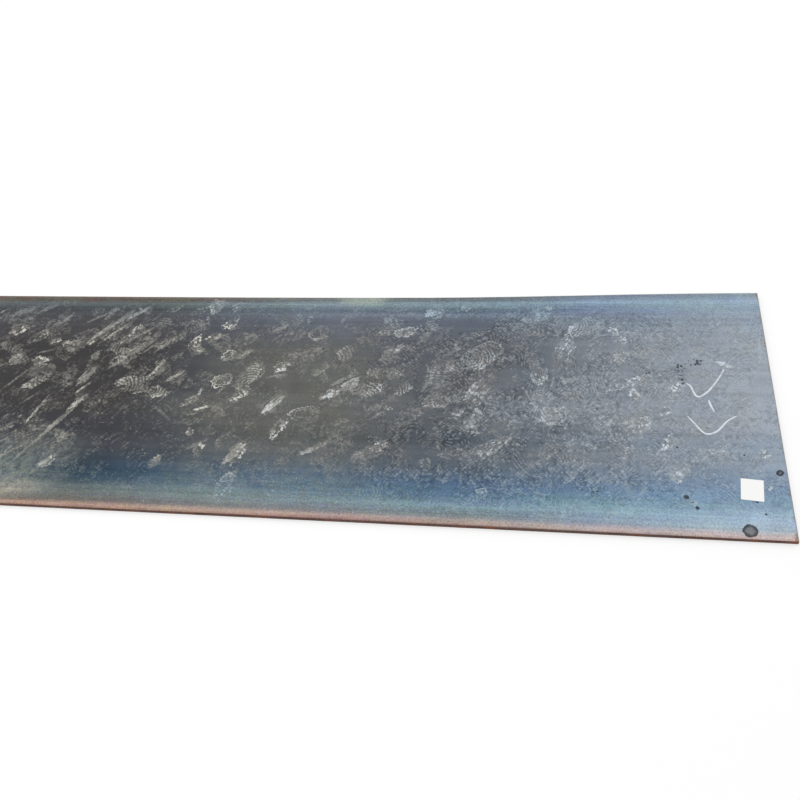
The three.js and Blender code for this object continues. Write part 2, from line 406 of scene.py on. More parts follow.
RIB_PRINTS = (
    (-0.27, 0.05, 0.19, 0.12, 15, 0.55), (-0.11, -0.01, 0.14, 0.07, -20, 0.5),
    (-0.18, 0.345, 0.13, 0.07, 20, 0.45), (-0.29, 0.355, 0.10, 0.06, 30, 0.3),
    (-1.05, 0.21, 0.11, 0.08, -45, 0.45), (-0.38, 0.25, 0.24, 0.09, 48, 0.3),
    (0.366, 0.11, 0.19, 0.10, 49, 0.6), (1.045, 0.035, 0.14, 0.09, 53, 0.6),
    (0.77, 0.12, 0.12, 0.06, -50, 0.35), (1.22, 0.04, 0.10, 0.06, 30, 0.6),
    (1.60, 0.27, 0.17, 0.13, 44, 0.5), (2.125, 0.499, 0.19, 0.10, 35, 0.5),
    (1.97, -0.11, 0.16, 0.12, 40, 0.45), (1.92, 0.02, 0.12, 0.10, -60, 0.4),
    (2.20, -0.47, 0.14, 0.06, -20, 0.25), (1.31, 0.52, 0.12, 0.06, -70, 0.4),
    (0.13, -0.205, 0.12, 0.05, 0, 0.3), (-0.04, 0.48, 0.13, 0.12, 45, 0.3),
    (-0.245, 0.51, 0.10, 0.07, 60, 0.35), (1.53, 0.42, 0.15, 0.05, 25, 0.35),
    (2.329, -0.358, 0.217, 0.09, 34, 0.25), (1.52, 0.235, 0.32, 0.10, 22, 0.35),
    (2.70, 0.10, 0.18, 0.10, 50, 0.25), (2.60, -0.40, 0.20, 0.10, 30, 0.3),
    (0.877, 0.292, 0.14, 0.09, 41, 0.5), (0.46, -0.332, 0.07, 0.05, 51, 0.5),
    (0.225, 0.078, 0.07, 0.04, 26, 0.35), (0.815, -0.355, 0.13, 0.04, 32, 0.4),
    (2.45, 0.28, 0.15, 0.11, 45, 0.3), (2.63, -0.17, 0.10, 0.08, 20, 0.3),
    (2.47, -0.33, 0.18, 0.12, 40, 0.25), (2.26, -0.30, 0.13, 0.11, 30, 0.3),
    (2.80, 0.31, 0.10, 0.08, 60, 0.25), (2.78, -0.13, 0.12, 0.09, 60, 0.25),
)
# Heels and soles whose rim shows more than their middle
RING_PRINTS = (
    (0.225, 0.078, 0.13, 0.09, 26, 0.95), (0.045, 0.31, 0.06, 0.045, 60, 0.5),
    (0.21, 0.267, 0.10, 0.055, 60, 0.8), (0.693, 0.435, 0.13, 0.10, 46, 0.55),
    (0.366, 0.11, 0.20, 0.12, 49, 0.4), (1.60, 0.28, 0.23, 0.16, 44, 0.5),
    (2.125, 0.499, 0.20, 0.11, 35, 0.55), (1.175, 0.445, 0.13, 0.075, 15, 0.75),
    (-0.28, 0.06, 0.17, 0.13, -10, 0.25), (2.785, 0.235, 0.09, 0.05, -30, 0.5),
    (0.44, -0.36, 0.11, 0.06, 20, 0.3), (0.36, -0.32, 0.13, 0.08, 40, 0.25),
    (0.729, -0.133, 0.16, 0.10, 9, 0.6),
)
# Drags: long thin streaks of dust
DRAGS = (
    (-0.585, 0.458, 0.21, 0.035, 53, 0.65), (-0.43, 0.588, 0.15, 0.035, 44, 0.6),
    (-0.569, 0.102, 0.15, 0.060, 67, 0.65), (-0.557, 0.010, 0.12, 0.020, 52, 0.75),
    (-0.607, -0.217, 0.36, 0.034, 62, 0.6), (-0.55, -0.09, 0.13, 0.032, 58, 0.85),
    (-0.712, -0.41, 0.13, 0.018, 64, 0.4), (-0.873, -0.362, 0.04, 0.012, 32, 0.6),
    (-0.82, -0.426, 0.08, 0.014, 64, 0.6), (-0.558, -0.473, 0.12, 0.030, 53, 0.5),
    (-0.337, -0.227, 0.09, 0.007, -3, 0.5), (-0.326, 0.443, 0.22, 0.020, 41, 0.35),
    (-0.42, 0.20, 0.12, 0.03, 50, 0.4), (-0.168, 0.165, 0.17, 0.024, 67, 0.8),
    (-0.15, 0.14, 0.07, 0.05, 70, 0.45), (-0.054, 0.101, 0.11, 0.032, 43, 0.65),
    (-0.03, 0.12, 0.08, 0.02, 45, 0.5), (0.128, -0.003, 0.06, 0.022, 84, 0.9),
    (0.17, -0.113, 0.09, 0.022, 22, 0.95), (0.13, -0.155, 0.06, 0.015, 10, 0.5),
    (0.53, 0.12, 0.11, 0.02, 15, 0.4), (0.82, -0.02, 0.06, 0.03, 30, 0.6),
    (-0.50, 0.56, 0.14, 0.04, 60, 0.4), (-0.87, 0.54, 0.10, 0.03, 60, 0.4),
    (2.79, 0.24, 0.085, 0.034, -24, 1.0), (-0.03, -0.16, 0.18, 0.02, -38, 0.25),
    (0.89, 0.10, 0.14, 0.03, 38, 0.5), (0.92, -0.30, 0.26, 0.02, 28, 0.2),
    (0.806, -0.358, 0.125, 0.03, 35, 0.35), (-0.98, 0.08, 0.20, 0.02, 58, 0.4),
    (-0.93, -0.30, 0.16, 0.03, 40, 0.35), (-0.66, 0.56, 0.20, 0.02, 35, 0.4),
    (-0.25, 0.33, 0.16, 0.02, 52, 0.35), (0.55, -0.077, 0.15, 0.052, 54, 0.95),
    (0.42, -0.40, 0.15, 0.045, 62, 0.6), (0.47, 0.476, 0.11, 0.03, 34, 0.45),
    (-0.52, 0.43, 0.21, 0.022, 53, 0.6), (-0.784, -0.421, 0.15, 0.02, 39, 0.45),
    (-0.325, 0.309, 0.20, 0.05, 44, 0.45), (-0.179, 0.342, 0.14, 0.03, 52, 0.45),
    (-0.763, -0.14, 0.21, 0.022, 74, 0.8), (-0.401, 0.605, 0.11, 0.022, -27, 0.45),
    (-0.857, 0.566, 0.065, 0.014, 65, 0.6), (-1.317, 0.603, 0.06, 0.02, 42, 0.5),
    (-1.173, 0.603, 0.16, 0.05, 29, 0.4), (-1.023, 0.634, 0.13, 0.04, 38, 0.35),
    (0.935, 0.066, 0.10, 0.06, 38, 0.5), (0.84, -0.005, 0.07, 0.03, 38, 0.6),
)
# Bare patches, wiped or never stepped on, where the dust is missing
CLEAN_PATCHES = (
    (-0.15, -0.31, 0.62, 0.33, 6, 0.95), (1.09, 0.05, 0.13, 0.12, 0, 0.9),
    (1.24, 0.25, 0.20, 0.12, 10, 0.9), (1.664, 0.43, 0.17, 0.24, 0, 0.9),
    (1.46, 0.50, 0.30, 0.14, 0, 0.8), (2.83, 0.507, 0.36, 0.20, 12, 0.95),
    (-0.98, 0.27, 0.16, 0.08, 0, 0.6), (-0.62, 0.0, 0.17, 0.12, 0, 0.85),
    (0.15, 0.21, 0.30, 0.08, 5, 0.6), (1.72, 0.05, 0.10, 0.16, 0, 0.6),
    (-1.08, 0.04, 0.20, 0.18, 0, 0.8), (-1.28, 0.36, 0.20, 0.20, 0, 0.6),
    (0.74, 0.50, 0.30, 0.14, 0, 0.5), (1.98, 0.30, 0.12, 0.12, 0, 0.6),
    (2.34, 0.60, 0.40, 0.14, 0, 0.7), (1.948, 0.36, 0.14, 0.13, 0, 0.9),
    (1.756, 0.13, 0.14, 0.20, 0, 0.85), (2.024, 0.018, 0.06, 0.12, 0, 0.8),
    (2.105, 0.30, 0.08, 0.16, 0, 0.8), (2.72, 0.054, 0.24, 0.07, 20, 0.8),
    (2.95, 0.14, 0.32, 0.10, 72, 0.95), (2.40, -0.46, 0.22, 0.10, 0, 0.6),
    (2.75, -0.46, 0.18, 0.12, 0, 0.7), (2.30, 0.18, 0.16, 0.08, 20, 0.7),
    (2.55, 0.30, 0.16, 0.08, 20, 0.6), (2.20, -0.20, 0.10, 0.12, 0, 0.6),
    (2.45, -0.16, 0.20, 0.08, 0, 0.6), (0.39, -0.21, 0.28, 0.17, 0, 0.95),
    (0.49, 0.07, 0.15, 0.15, 0, 0.85), (0.68, 0.06, 0.21, 0.26, 0, 0.95),
    (0.77, -0.28, 0.17, 0.14, 0, 0.9), (0.10, 0.19, 0.18, 0.11, 0, 0.9),
    (0.85, 0.42, 0.14, 0.11, 0, 0.9), (0.90, -0.10, 0.16, 0.10, 0, 0.85),
    (0.18, -0.44, 0.10, 0.16, 0, 0.7), (-0.75, 0.47, 0.15, 0.20, 0, 0.95),
    (-0.56, -0.15, 0.14, 0.14, 0, 0.8), (0.932, -0.158, 0.15, 0.11, 0, 0.8),
    (1.09, -0.34, 0.16, 0.12, 0, 0.8), (-0.732, 0.496, 0.16, 0.12, 0, 0.8),
    (1.62, 0.345, 0.18, 0.08, 0, 0.9), (2.054, -0.071, 0.10, 0.10, 0, 0.5),
)
# Oily spots: (x, y, radius), and last a row of five dark dots under the label's lower edge,
# painted as the label's shadow.
STAINS_AND_LABEL_SHADOW = (
    (2.812, -0.708, 0.032), (2.968, -0.403, 0.0175), (0.739, 0.316, 0.007),
    (2.885, -0.622, 0.006), (0.922, 0.195, 0.007), (2.828, -0.310, 0.005),
    # From (2.840, -0.5605) on: dark dots painted as the label's shadow, not oil
    (2.564, -0.549, 0.012), (2.604, -0.604, 0.009), (2.840, -0.5605, 0.0042),
    (2.846, -0.561, 0.0042), (2.852, -0.561, 0.0042), (2.858, -0.561, 0.0042),
    (2.864, -0.561, 0.0042),
)
# Places where black specks gather: (x, y, radius)
SPECK_PLACES = (
    (2.665, 0.255, 0.030), (2.585, 0.215, 0.034), (2.585, 0.130, 0.020),
    (2.43, 0.18, 0.016), (2.175, -0.54, 0.018), (2.18, -0.06, 0.012),
    (2.53, -0.28, 0.012),
)

# Where the prints and the drags above stop, and only strewn ones lie beyond
FAR_FROM = -1.42
FAR_DRAGS_FROM = -1.2
# Where the plate is less walked on, towards the label, and over what length that sets in
QUIET_FROM = 2.6
QUIET_SETS_IN = 0.15

LUG_CELL = 0.022
DOT_CELL = 0.020
RIB_PITCH = 0.021
RIB_ZIGZAG = 0.040
RIM_PITCH = 0.016
# How each layer of studs is drawn out, and which layers of ribs are arcs
DOT_STRETCH = ((1.0, 1.0, 1.0), (0.62, 1.15, 1.0), (1.2, 0.7, 1.0))
RIB_CURL = (1.0, 0.0, 1.0)
ARC_CENTRE = 0.11                   # how far from the middle of a print its arcs centre
# How dusty each kind of print is between the parts of its tread
PRINT_FILMS = (("block", 0.12), ("dot", 0.20), ("rib", 0.14), ("ring", 0.06))

# Each kind of mark: its layers, the marks above, how many more are strewn and how long and
# strong they are, how many more lie on the far end, how uneven its outline is, and how far
# the start of its tread roams.
MARK_KINDS = (
    ("block", 3, BLOCK_PRINTS, (150, (0.05, 0.10), (0.14, 0.45)), 34, 0.35, 1.0),
    ("dot", 3, DOT_PRINTS, (240, (0.07, 0.16), (0.12, 0.38)), 30, 0.35, 1.0),
    ("rib", 3, RIB_PRINTS, (150, (0.08, 0.16), (0.12, 0.38)), 20, 0.3, 0.09),
    ("ring", 2, RING_PRINTS, (70, (0.07, 0.14), (0.12, 0.34)), 8, 0.12, 0.0),
    ("clean", 2, CLEAN_PATCHES, (30, (0.1, 0.25), (0.2, 0.5)), 0, 0.3, 0.0),
)
FAR_LENGTHS = (0.06, 0.14)
FAR_STRENGTHS = (0.25, 0.6)
STREWN_DRAGS = 44
FAR_DRAGS = 22
FULL_TURN = 2 * math.pi


def in_own_axes(from_x, from_y, turn):
    """How far a place is along and across a mark that is turned by some degrees."""
    angle = math.radians(turn)
    return (from_x * math.cos(angle) + from_y * math.sin(angle),
            from_y * math.cos(angle) - from_x * math.sin(angle))


class MarkLayers:
    """Marks of one kind, laid on the face's vertices in layers so that none overlap.

    Each layer holds every vertex's place in its mark's own axes, how far it is inside the
    mark's outline, and the mark's strength. Each mark's tread starts somewhere else, up to
    roam away, and has a size of its own. Thin marks, finer than the mesh, hold the place as
    shares of the mark's half length and half width, and then its half width.
    """
    OUTSIDE = -0.05
    SQUARENESS = 2.4                # 2 is an ellipse, and more is nearer a rectangle
    LOBES = (2, 3, 5)               # how many bulges the uneven outline has
    LEAN = 0.5                      # how much harder one side is pressed than the middle
    PRESSED = (0.3, 1.5)
    TREAD_SCALES = (0.85, 1.2)

    def __init__(self, kind, count, places, unevenness, roam=0.0, thin=False):
        self.kind = kind
        self.places = places
        self.unevenness = unevenness
        self.roam = roam
        self.thin = thin
        self.own = [np.tile((0.0, 0.0, self.OUTSIDE), (len(places), 1)) for _ in range(count)]
        self.strength = [np.zeros(len(places)) for _ in range(count)]
        self.taken = [np.zeros(len(places), bool) for _ in range(count)]

    def lay(self, x, y, length, width, turn, strength):
        """Lays one mark in the first layer with room for it, if there is one."""
        reach = (length + width) / 2 + 4 * FACE_STEP
        near = np.flatnonzero((np.abs(self.places[:, 0] - x) < reach)
                              & (np.abs(self.places[:, 1] - y) < reach))
        along, across = in_own_axes(self.places[near, 0] - x, self.places[near, 1] - y, turn)
        half = (length / 2, width / 2)
        beyond = np.maximum(np.abs(along) - half[0], np.abs(across) - half[1])
        kept = beyond < (3 if self.thin else 2) * FACE_STEP
        near, along, across, beyond = near[kept], along[kept], across[kept], beyond[kept]
        lean = random.uniform(0, FULL_TURN)
        if self.thin:
            pressed = strength * (beyond < 1.5 * FACE_STEP)
            place = (along / half[0], across / half[1], np.full(len(near), half[1]))
        else:
            tilt = along / half[0] * math.cos(lean) + across / half[1] * math.sin(lean)
            pressed = strength * np.clip(1 + self.LEAN * tilt, *self.PRESSED)
            inside = self.inside_outline(along, across, half)
            scale = random.uniform(*self.TREAD_SCALES) * (1 + 0.06 * x)
            place = (along * scale + random.uniform(-self.roam, self.roam),
                     across * scale + random.uniform(-self.roam, self.roam), inside)
        for own, strengths, taken in zip(self.own, self.strength, self.taken):
            if not taken[near].any():
                own[near] = np.stack(place, 1)
                strengths[near] = pressed
                taken[near] = True
                return True
        return False

    def inside_outline(self, along, across, half):
        """How far places are inside a mark's rounded and uneven outline."""
        share_along, share_across = along / half[0], across / half[1]
        power = self.SQUARENESS
        ring = (np.abs(share_along) ** power + np.abs(share_across) ** power) ** (1 / power)
        bearing = np.arctan2(share_across, share_along)
        for lobes in self.LOBES:
            ring *= 1 + self.unevenness / lobes * np.sin(
                lobes * bearing + random.uniform(0, FULL_TURN))
        return (1 - ring) * min(half)

    def lay_all(self, marks):
        for mark in marks:
            if not self.lay(*mark):
                print("no room for", self.kind, mark)

    def store(self, mesh):
        """Writes the layers to the mesh's attributes, and gives their names."""
        names = [f"{self.kind}_{index}" for index in range(len(self.own))]
        for name, own, strengths in zip(names, self.own, self.strength):
            store_vectors(mesh, name, own)
            store_values(mesh, name + "_strength", strengths)
        return names


def store_vectors(mesh, name, vectors):
    layer = mesh.attributes.new(name, "FLOAT_VECTOR", "POINT")
    layer.data.foreach_set("vector", vectors.astype(np.float32).ravel())


def store_values(mesh, name, values):
    layer = mesh.attributes.new(name, "FLOAT", "POINT")
    layer.data.foreach_set("value", values.astype(np.float32))


def trodden(x):
    """How much the plate has been walked on at a place along it."""
    return 0.8 + 0.2 / (1 + math.exp((x - QUIET_FROM) / QUIET_SETS_IN))


def bareness(x, y, patch_x, patch_y, length, width, turn, strength):
    """How surely a place in a bare patch is kept free of strewn marks, from 0 to 1."""
    along, across = in_own_axes(x - patch_x, y - patch_y, turn)
    inside = (along / (length / 2)) ** 2 + (across / (width / 2)) ** 2 < 1.2
    return strength if inside else 0.0


def strew(layers, count, lengths, strengths):
    """Fainter marks strewn over the whole face, clear of its bare patches."""
    for _ in range(count):
        x = random.uniform(-END_X + 0.05, END_X - 0.05)
        y = random.uniform(-SIDE_Y + 0.08, SIDE_Y - 0.04)
        length = random.uniform(*lengths)
        width = length * random.uniform(0.5, 0.85)
        turn = random.uniform(0, 180)
        strength = random.uniform(*strengths) * trodden(x)
        inward = min(1.0, max(0.0, (SIDE_Y - 0.05 - abs(y)) / (0.12 if y > 0 else 0.35)))
        bare = max(bareness(x, y, *patch) for patch in CLEAN_PATCHES)
        if layers.kind == "clean" or random.random() > bare:
            layers.lay(x, y, length, width, turn, strength * (0.25 + 0.75 * inward))


def strew_far_end(layers, count):
    """Stronger marks on the far end of the plate, as thick as on the rest."""
    for _ in range(count):
        x = random.uniform(-END_X + 0.08, FAR_FROM)
        y = random.uniform(-SIDE_Y + 0.12, SIDE_Y - 0.12)
        length = random.uniform(*FAR_LENGTHS)
        width = length * random.uniform(0.5, 0.8)
        layers.lay(x, y, length, width, random.uniform(20, 90),
                   random.uniform(*FAR_STRENGTHS))


def nearest_spots(places, marks):
    """Each vertex's place from the middle of the nearest round mark, and its radius. Away
    from them all the radius is -1, so that nothing there is inside."""
    nearest = np.full(len(places), 3.0 * FACE_STEP)
    own = np.tile((0.0, 0.0, -1.0), (len(places), 1))
    for x, y, radius in marks:
        apart = places[:, :2] - (x, y)
        gap = np.hypot(apart[:, 0], apart[:, 1]) - radius
        closer = gap < nearest
        nearest[closer] = gap[closer]
        own[closer, :2] = apart[closer]
        own[closer, 2] = radius
    return own


def mark_drags(places):
    """The drags, and more of them on the far end and strewn about the rest."""
    layers = MarkLayers("drag", 4, places, 0.0, thin=True)
    layers.lay_all(DRAGS)
    for _ in range(FAR_DRAGS):
        layers.lay(random.uniform(-END_X + 0.2, FAR_DRAGS_FROM), random.uniform(-0.6, 0.6),
                   random.uniform(0.08, 0.3), random.uniform(0.015, 0.05),
                   random.uniform(40, 75), random.uniform(0.4, 0.75))
    for _ in range(STREWN_DRAGS):
        x = random.uniform(FAR_DRAGS_FROM, END_X - 0.2)
        layers.lay(x, random.uniform(-0.55, 0.6), random.uniform(0.04, 0.14),
                   random.uniform(0.012, 0.03), random.uniform(0, 80),
                   random.uniform(0.12, 0.4) * trodden(x))
    return layers


def mark_face(mesh):
    """Lays every print, drag, bare patch, stain, painted label shadow and speck on the plate's
    vertices.
    """
    places = np.empty(len(mesh.vertices) * 3)
    mesh.vertices.foreach_get("co", places)
    places = places.reshape(-1, 3)
    names = {}
    for kind, count, marks, strewn, far, unevenness, roam in MARK_KINDS:
        layers = MarkLayers(kind, count, places, unevenness, roam)
        layers.lay_all(marks)
        strew_far_end(layers, far)
        strew(layers, *strewn)
        names[kind] = layers.store(mesh)
    names["drag"] = mark_drags(places).store(mesh)
    store_vectors(mesh, "stain_and_shadow", nearest_spots(places, STAINS_AND_LABEL_SHADOW))
    store_vectors(mesh, "speck", nearest_spots(places, SPECK_PLACES))
    return names


# ---------------------------------------------------------------------------------------
# The plate's mesh
# ---------------------------------------------------------------------------------------
# The plate's material slots after the top face's own, which is 0
MILL_EDGE = 1
SHEARED_END = 2
UNDERSIDE = 3


def quarter_ellipse(depth, reach, drop):
    """How far back a rounded arris is at a depth under the face it leaves."""
    if depth >= drop:
        return 0.0
    return reach * (1 - math.sqrt(1 - (1 - depth / drop) ** 2))


def mill_setback(z):
    """How far a mill edge lies inside the plate's full width at a height."""
    depth = min(z, THICKNESS - z)
    if depth < ARRIS_DROP:
        return EDGE_BULGE + quarter_ellipse(depth, ARRIS_REACH, ARRIS_DROP)
    share = (z - THICKNESS / 2) / (THICKNESS / 2 - ARRIS_DROP)
    return EDGE_BULGE * share * share


def shear_setback(depth):
    """How far a sheared end lies inside the full length at a depth under its rollover."""
    if depth < ROLLOVER_DROP:
        return quarter_ellipse(depth, ROLLOVER_REACH, ROLLOVER_DROP)
    torn = depth - ROLLOVER_DROP - LAND_HEIGHT
    if torn <= 0:
        return 0.0
    return BREAK_SETBACK * torn / (THICKNESS - ROLLOVER_DROP - LAND_HEIGHT)


def waist(x):
    """How far the far mill edge is drawn in at a place along the plate."""
    end = math.copysign(END_X, x - WAIST_X)
    share = (x - end) / (WAIST_X - end)
    return WAIST_DEPTH * (1 - math.cos(math.pi * share)) / 2


def side_of(value, edge):
    """-1 or 1 for a place on the lower or the upper edge, and 0 between them."""
    if abs(value) <= edge - FACE_STEP / 2:
        return 0
    return 1 if value > 0 else -1


def set_back(x, y, z, end_side, mill_side):
    """Where a place on a plain block's rim goes on the rolled and sheared plate."""
    if mill_side:
        wander = noise.noise(Vector((x * 2.3, y, 4 * z))) \
            + 0.6 * noise.noise(Vector((x * 11, y + 5, 60 * z)))
        y -= math.copysign(mill_setback(z) + MILL_WANDER * abs(wander), y)
    if end_side:
        depth = THICKNESS - z if end_side > 0 else z
        chatter = noise.noise(Vector((x, y * 9, 30 * z)))
        x -= math.copysign(shear_setback(depth) + SHEAR_CHATTER * abs(chatter), x)
    return x, y


def plate_mesh():
    """The plate as one closed mesh: a fine face, rings down the rim and a plain underside."""
    shape = bmesh.new()
    bmesh.ops.create_grid(
        shape, x_segments=round(LENGTH / FACE_STEP), y_segments=round(WIDTH / FACE_STEP),
        size=0.5, matrix=Matrix.Diagonal((LENGTH, WIDTH, 1.0, 1.0)))
    end_side = shape.verts.layers.int.new("end_side")
    mill_side = shape.verts.layers.int.new("mill_side")
    ring = shape.verts.layers.int.new("ring")
    across = shape.verts.layers.float.new("across")
    for vert in shape.verts:
        vert[end_side] = side_of(vert.co.x, END_X)
        vert[mill_side] = side_of(vert.co.y, SIDE_Y)
    rim = [edge for edge in shape.edges if edge.is_boundary]
    walls = []
    for index in range(len(RIM_SHARES)):
        grown = bmesh.ops.extrude_edge_only(shape, edges=rim)["geom"]
        for part in grown:
            if isinstance(part, bmesh.types.BMVert):
                part[ring] = index + 1
        walls += [part for part in grown if isinstance(part, bmesh.types.BMFace)]
        rim = [part for part in grown
               if isinstance(part, bmesh.types.BMEdge) and part.is_boundary]
    for face in bmesh.ops.contextual_create(shape, geom=rim)["faces"]:
        face.material_index = UNDERSIDE
    heights = [THICKNESS] + [share * THICKNESS for share in RIM_SHARES]
    for vert in shape.verts:
        z = heights[vert[ring]]
        x, y = set_back(vert.co.x, vert.co.y, z, vert[end_side], vert[mill_side])
        vert[across] = (y + SIDE_Y) / WIDTH
        vert.co = (x, y - waist(x) * vert[across], z)
    for face in walls:
        at_end = sum(1 for vert in face.verts if vert[end_side]) > 2
        top_arris = min(heights[vert[ring]] for vert in face.verts) > THICKNESS - ARRIS_DROP
        if at_end:
            face.material_index = SHEARED_END
        elif not top_arris:
            face.material_index = MILL_EDGE
    bmesh.ops.recalc_face_normals(shape, faces=shape.faces)
    mesh = mesh_of(shape, "rolled_plate")
    for polygon in mesh.polygons:
        polygon.use_smooth = True
    mesh.set_sharp_from_angle(angle=SHARP_FROM)
    return mesh


# ---------------------------------------------------------------------------------------
# Shared effects
# ---------------------------------------------------------------------------------------
def make_rolling_streaks():
    """Fine lines along the rolling direction, from -1 to 1."""
    tree, graph, given, result = node_group(
        "rolling_streaks", [("Position", VECTOR)],
        [("Broad", FLOAT), ("Lines", FLOAT), ("Fine", FLOAT)])
    broad = graph.noise(given["Position"], (0.25, 9.0, 1.0), 3.0, 0.55)
    lines = graph.noise(given["Position"], (0.4, 32.0, 1.0), 2.0, 0.6)
    fine = graph.noise(given["Position"], (1.1, 70.0, 1.0), 2.0, 0.6)
    graph.put(result["Broad"], graph.scaled(broad, 0.25, 0.75, -1.0, 1.0))
    graph.put(result["Lines"], graph.spread(lines))
    graph.put(result["Fine"], graph.scaled(fine, 0.25, 0.75, -1.0, 1.0))
    return tree


def make_stud_tread(name, randomness, stud_rim, hole_rim, hollow_luck, faintest):
    """Studs in a print's own axes, some pressed harder than others and some hollow."""
    tree, graph, given, result = node_group(
        name, [("Place", VECTOR), ("Cell", FLOAT)], [("Mask", FLOAT)])
    scale = graph.math("DIVIDE", 1.0, given["Cell"])
    apart, luck = graph.flat_cells(given["Place"], scale, randomness)
    stud = graph.step(apart, *stud_rim)
    hollow = graph.product(graph.step(apart, *hole_rim), graph.step(luck, *hollow_luck), 0.8)
    stud = graph.product(stud, graph.rest(hollow))
    graph.put(result["Mask"], graph.product(stud, graph.step(luck, faintest, 1.0)))
    return tree


def make_rib_tread():
    """Ribs across a print, in its own axes: zigzags, or arcs where Curl is 1."""
    tree, graph, given, result = node_group(
        "rib_tread", [("Place", VECTOR), ("Pitch", FLOAT), ("Zigzag", FLOAT), ("Curl", FLOAT)],
        [("Mask", FLOAT)])
    place = graph.split(given["Place"])
    fold = graph.math("PINGPONG", place["Y"], given["Zigzag"])
    zigzag = graph.plus(place["X"], graph.product(fold, 0.5))
    arc = graph.distance(graph.plus(place["X"], ARC_CENTRE), place["Y"])
    along = graph.plus(graph.product(arc, given["Curl"]), graph.product(
        zigzag, graph.rest(given["Curl"])))
    ribs = graph.step(graph.waves(along, given["Pitch"]), -0.15, 0.45)
    graph.put(result["Mask"], ribs)
    return tree


def make_drag():
    """A streak of dust, fibrous along its length, with ragged ends and worn gaps."""
    tree, graph, given, result = node_group(
        "drag", [("Place", VECTOR), ("Ragged", FLOAT)], [("Mask", FLOAT)])
    place = graph.split(given["Place"])
    width = graph.product(place["Y"], place["Z"], 120.0)
    fibre = graph.flat_noise(graph.join(graph.product(place["X"], 0.8), width), 1.0, 2.0, 0.65)
    brushed = graph.line(graph.minus(fibre, 0.5), 2.2, place["X"])
    apart = graph.math("SQRT", graph.plus(
        graph.math("POWER", graph.size(brushed), 2.6),
        graph.math("POWER", graph.size(place["Y"]), 2.0)))
    inside = graph.line(given["Ragged"], 0.4, graph.product(graph.rest(apart), place["Z"]))
    body = graph.line(graph.step(fibre, 0.36, 0.56), 0.85, 0.15)
    worn = graph.step(given["Ragged"], -0.008, 0.001, 0.45, 1.0)
    graph.put(result["Mask"], graph.product(graph.step(inside, -0.001, 0.004), body, worn))
    return tree


def make_print_edge():
    """A print's area, its outline and its rim lines, from how far inside it a place is."""
    tree, graph, given, result = node_group(
        "print_edge", [("Inside", FLOAT), ("Ragged", FLOAT), ("Pitch", FLOAT)],
        [("Area", FLOAT), ("Outline", FLOAT), ("Rim", FLOAT)])
    inside = graph.plus(given["Inside"], given["Ragged"])
    area = graph.step(inside, -0.001, 0.005)
    lines = graph.step(graph.waves(inside, given["Pitch"]), -0.1, 0.7)
    near_rim = graph.step(inside, 0.036, 0.006)
    graph.put(result["Area"], area)
    graph.put(result["Outline"], graph.product(
        graph.step(inside, 0.0, 0.003), graph.step(inside, 0.011, 0.007)))
    graph.put(result["Rim"], graph.product(area, lines, near_rim))
    return tree


RUST_DARK = srgb(74, 44, 34)
RUST_BROWN = srgb(122, 68, 42)
RUST_ORANGE = srgb(176, 106, 58)


def make_rust_bloom():
    """Patches of rust that thicken where the given amount is high."""
    tree, graph, given, result = node_group(
        "rust_bloom", [("Position", VECTOR), ("Amount", FLOAT)],
        [("Mask", FLOAT), ("Color", COLOUR)])
    broad = graph.noise(given["Position"], 14.0, 4.0, 0.65)
    fine = graph.noise(given["Position"], 220.0, 3.0, 0.6)
    level = graph.plus(broad, graph.product(graph.minus(fine, 0.5), 0.5))
    threshold = graph.minus(0.95, graph.product(given["Amount"], 0.6))
    graph.put(result["Mask"], graph.step(graph.minus(level, threshold), -0.02, 0.12))
    graph.put(result["Color"], graph.ramp(
        fine, ((0.3, RUST_DARK), (0.5, RUST_BROWN), (0.7, RUST_ORANGE))))
    return tree


# ---------------------------------------------------------------------------------------
# The top face
# A step over x or y says between which places, in metres along or across the plate, an
# effect sets in, and then how strong it is before and after.
#
# Heat tint across the plate, as bands parallel to its edges: (millimetres from the near mill
# edge, screen colour), at the dark end, in the middle and at the pale labelled end, whose
# paleness is partly the scale's own tint and partly a painted reflection.
# ---------------------------------------------------------------------------------------
TINT_DARK = (
    (0, (156, 130, 116)), (16, (173, 147, 133)),      # red-brown oxide along the edge
    (40, (116, 110, 105)), (70, (112, 113, 112)),     # grey film
    (115, (102, 110, 110)), (170, (70, 84, 94)),      # the blue band, very dark here
    (230, (60, 74, 86)), (370, (75, 78, 83)),
    (480, (73, 74, 78)), (650, (73, 72, 73)), (1100, (72, 71, 72)), (1330, (84, 84, 87)),
    (1400, (82, 87, 91)), (1440, (99, 105, 105)),     # the far band
    (1470, (90, 84, 80)), (1500, (126, 112, 106)),
)
TINT_MIDDLE = (
    (0, (140, 114, 106)), (20, (176, 155, 147)),      # pink oxide along the edge
    (45, (125, 128, 129)), (75, (119, 131, 137)),     # grey film
    (100, (124, 144, 151)), (165, (97, 119, 134)),    # teal going to slate blue
    (235, (90, 108, 128)), (330, (89, 97, 106)),
    (400, (97, 102, 108)), (490, (84, 90, 97)), (600, (98, 102, 106)),
    (1100, (95, 99, 105)), (1320, (102, 107, 116)),
    (1356, (120, 128, 139)), (1380, (104, 115, 126)),  # the far band and its lines
    (1410, (110, 123, 131)), (1440, (134, 151, 159)),
    (1470, (110, 118, 122)), (1500, (118, 118, 116)),
)
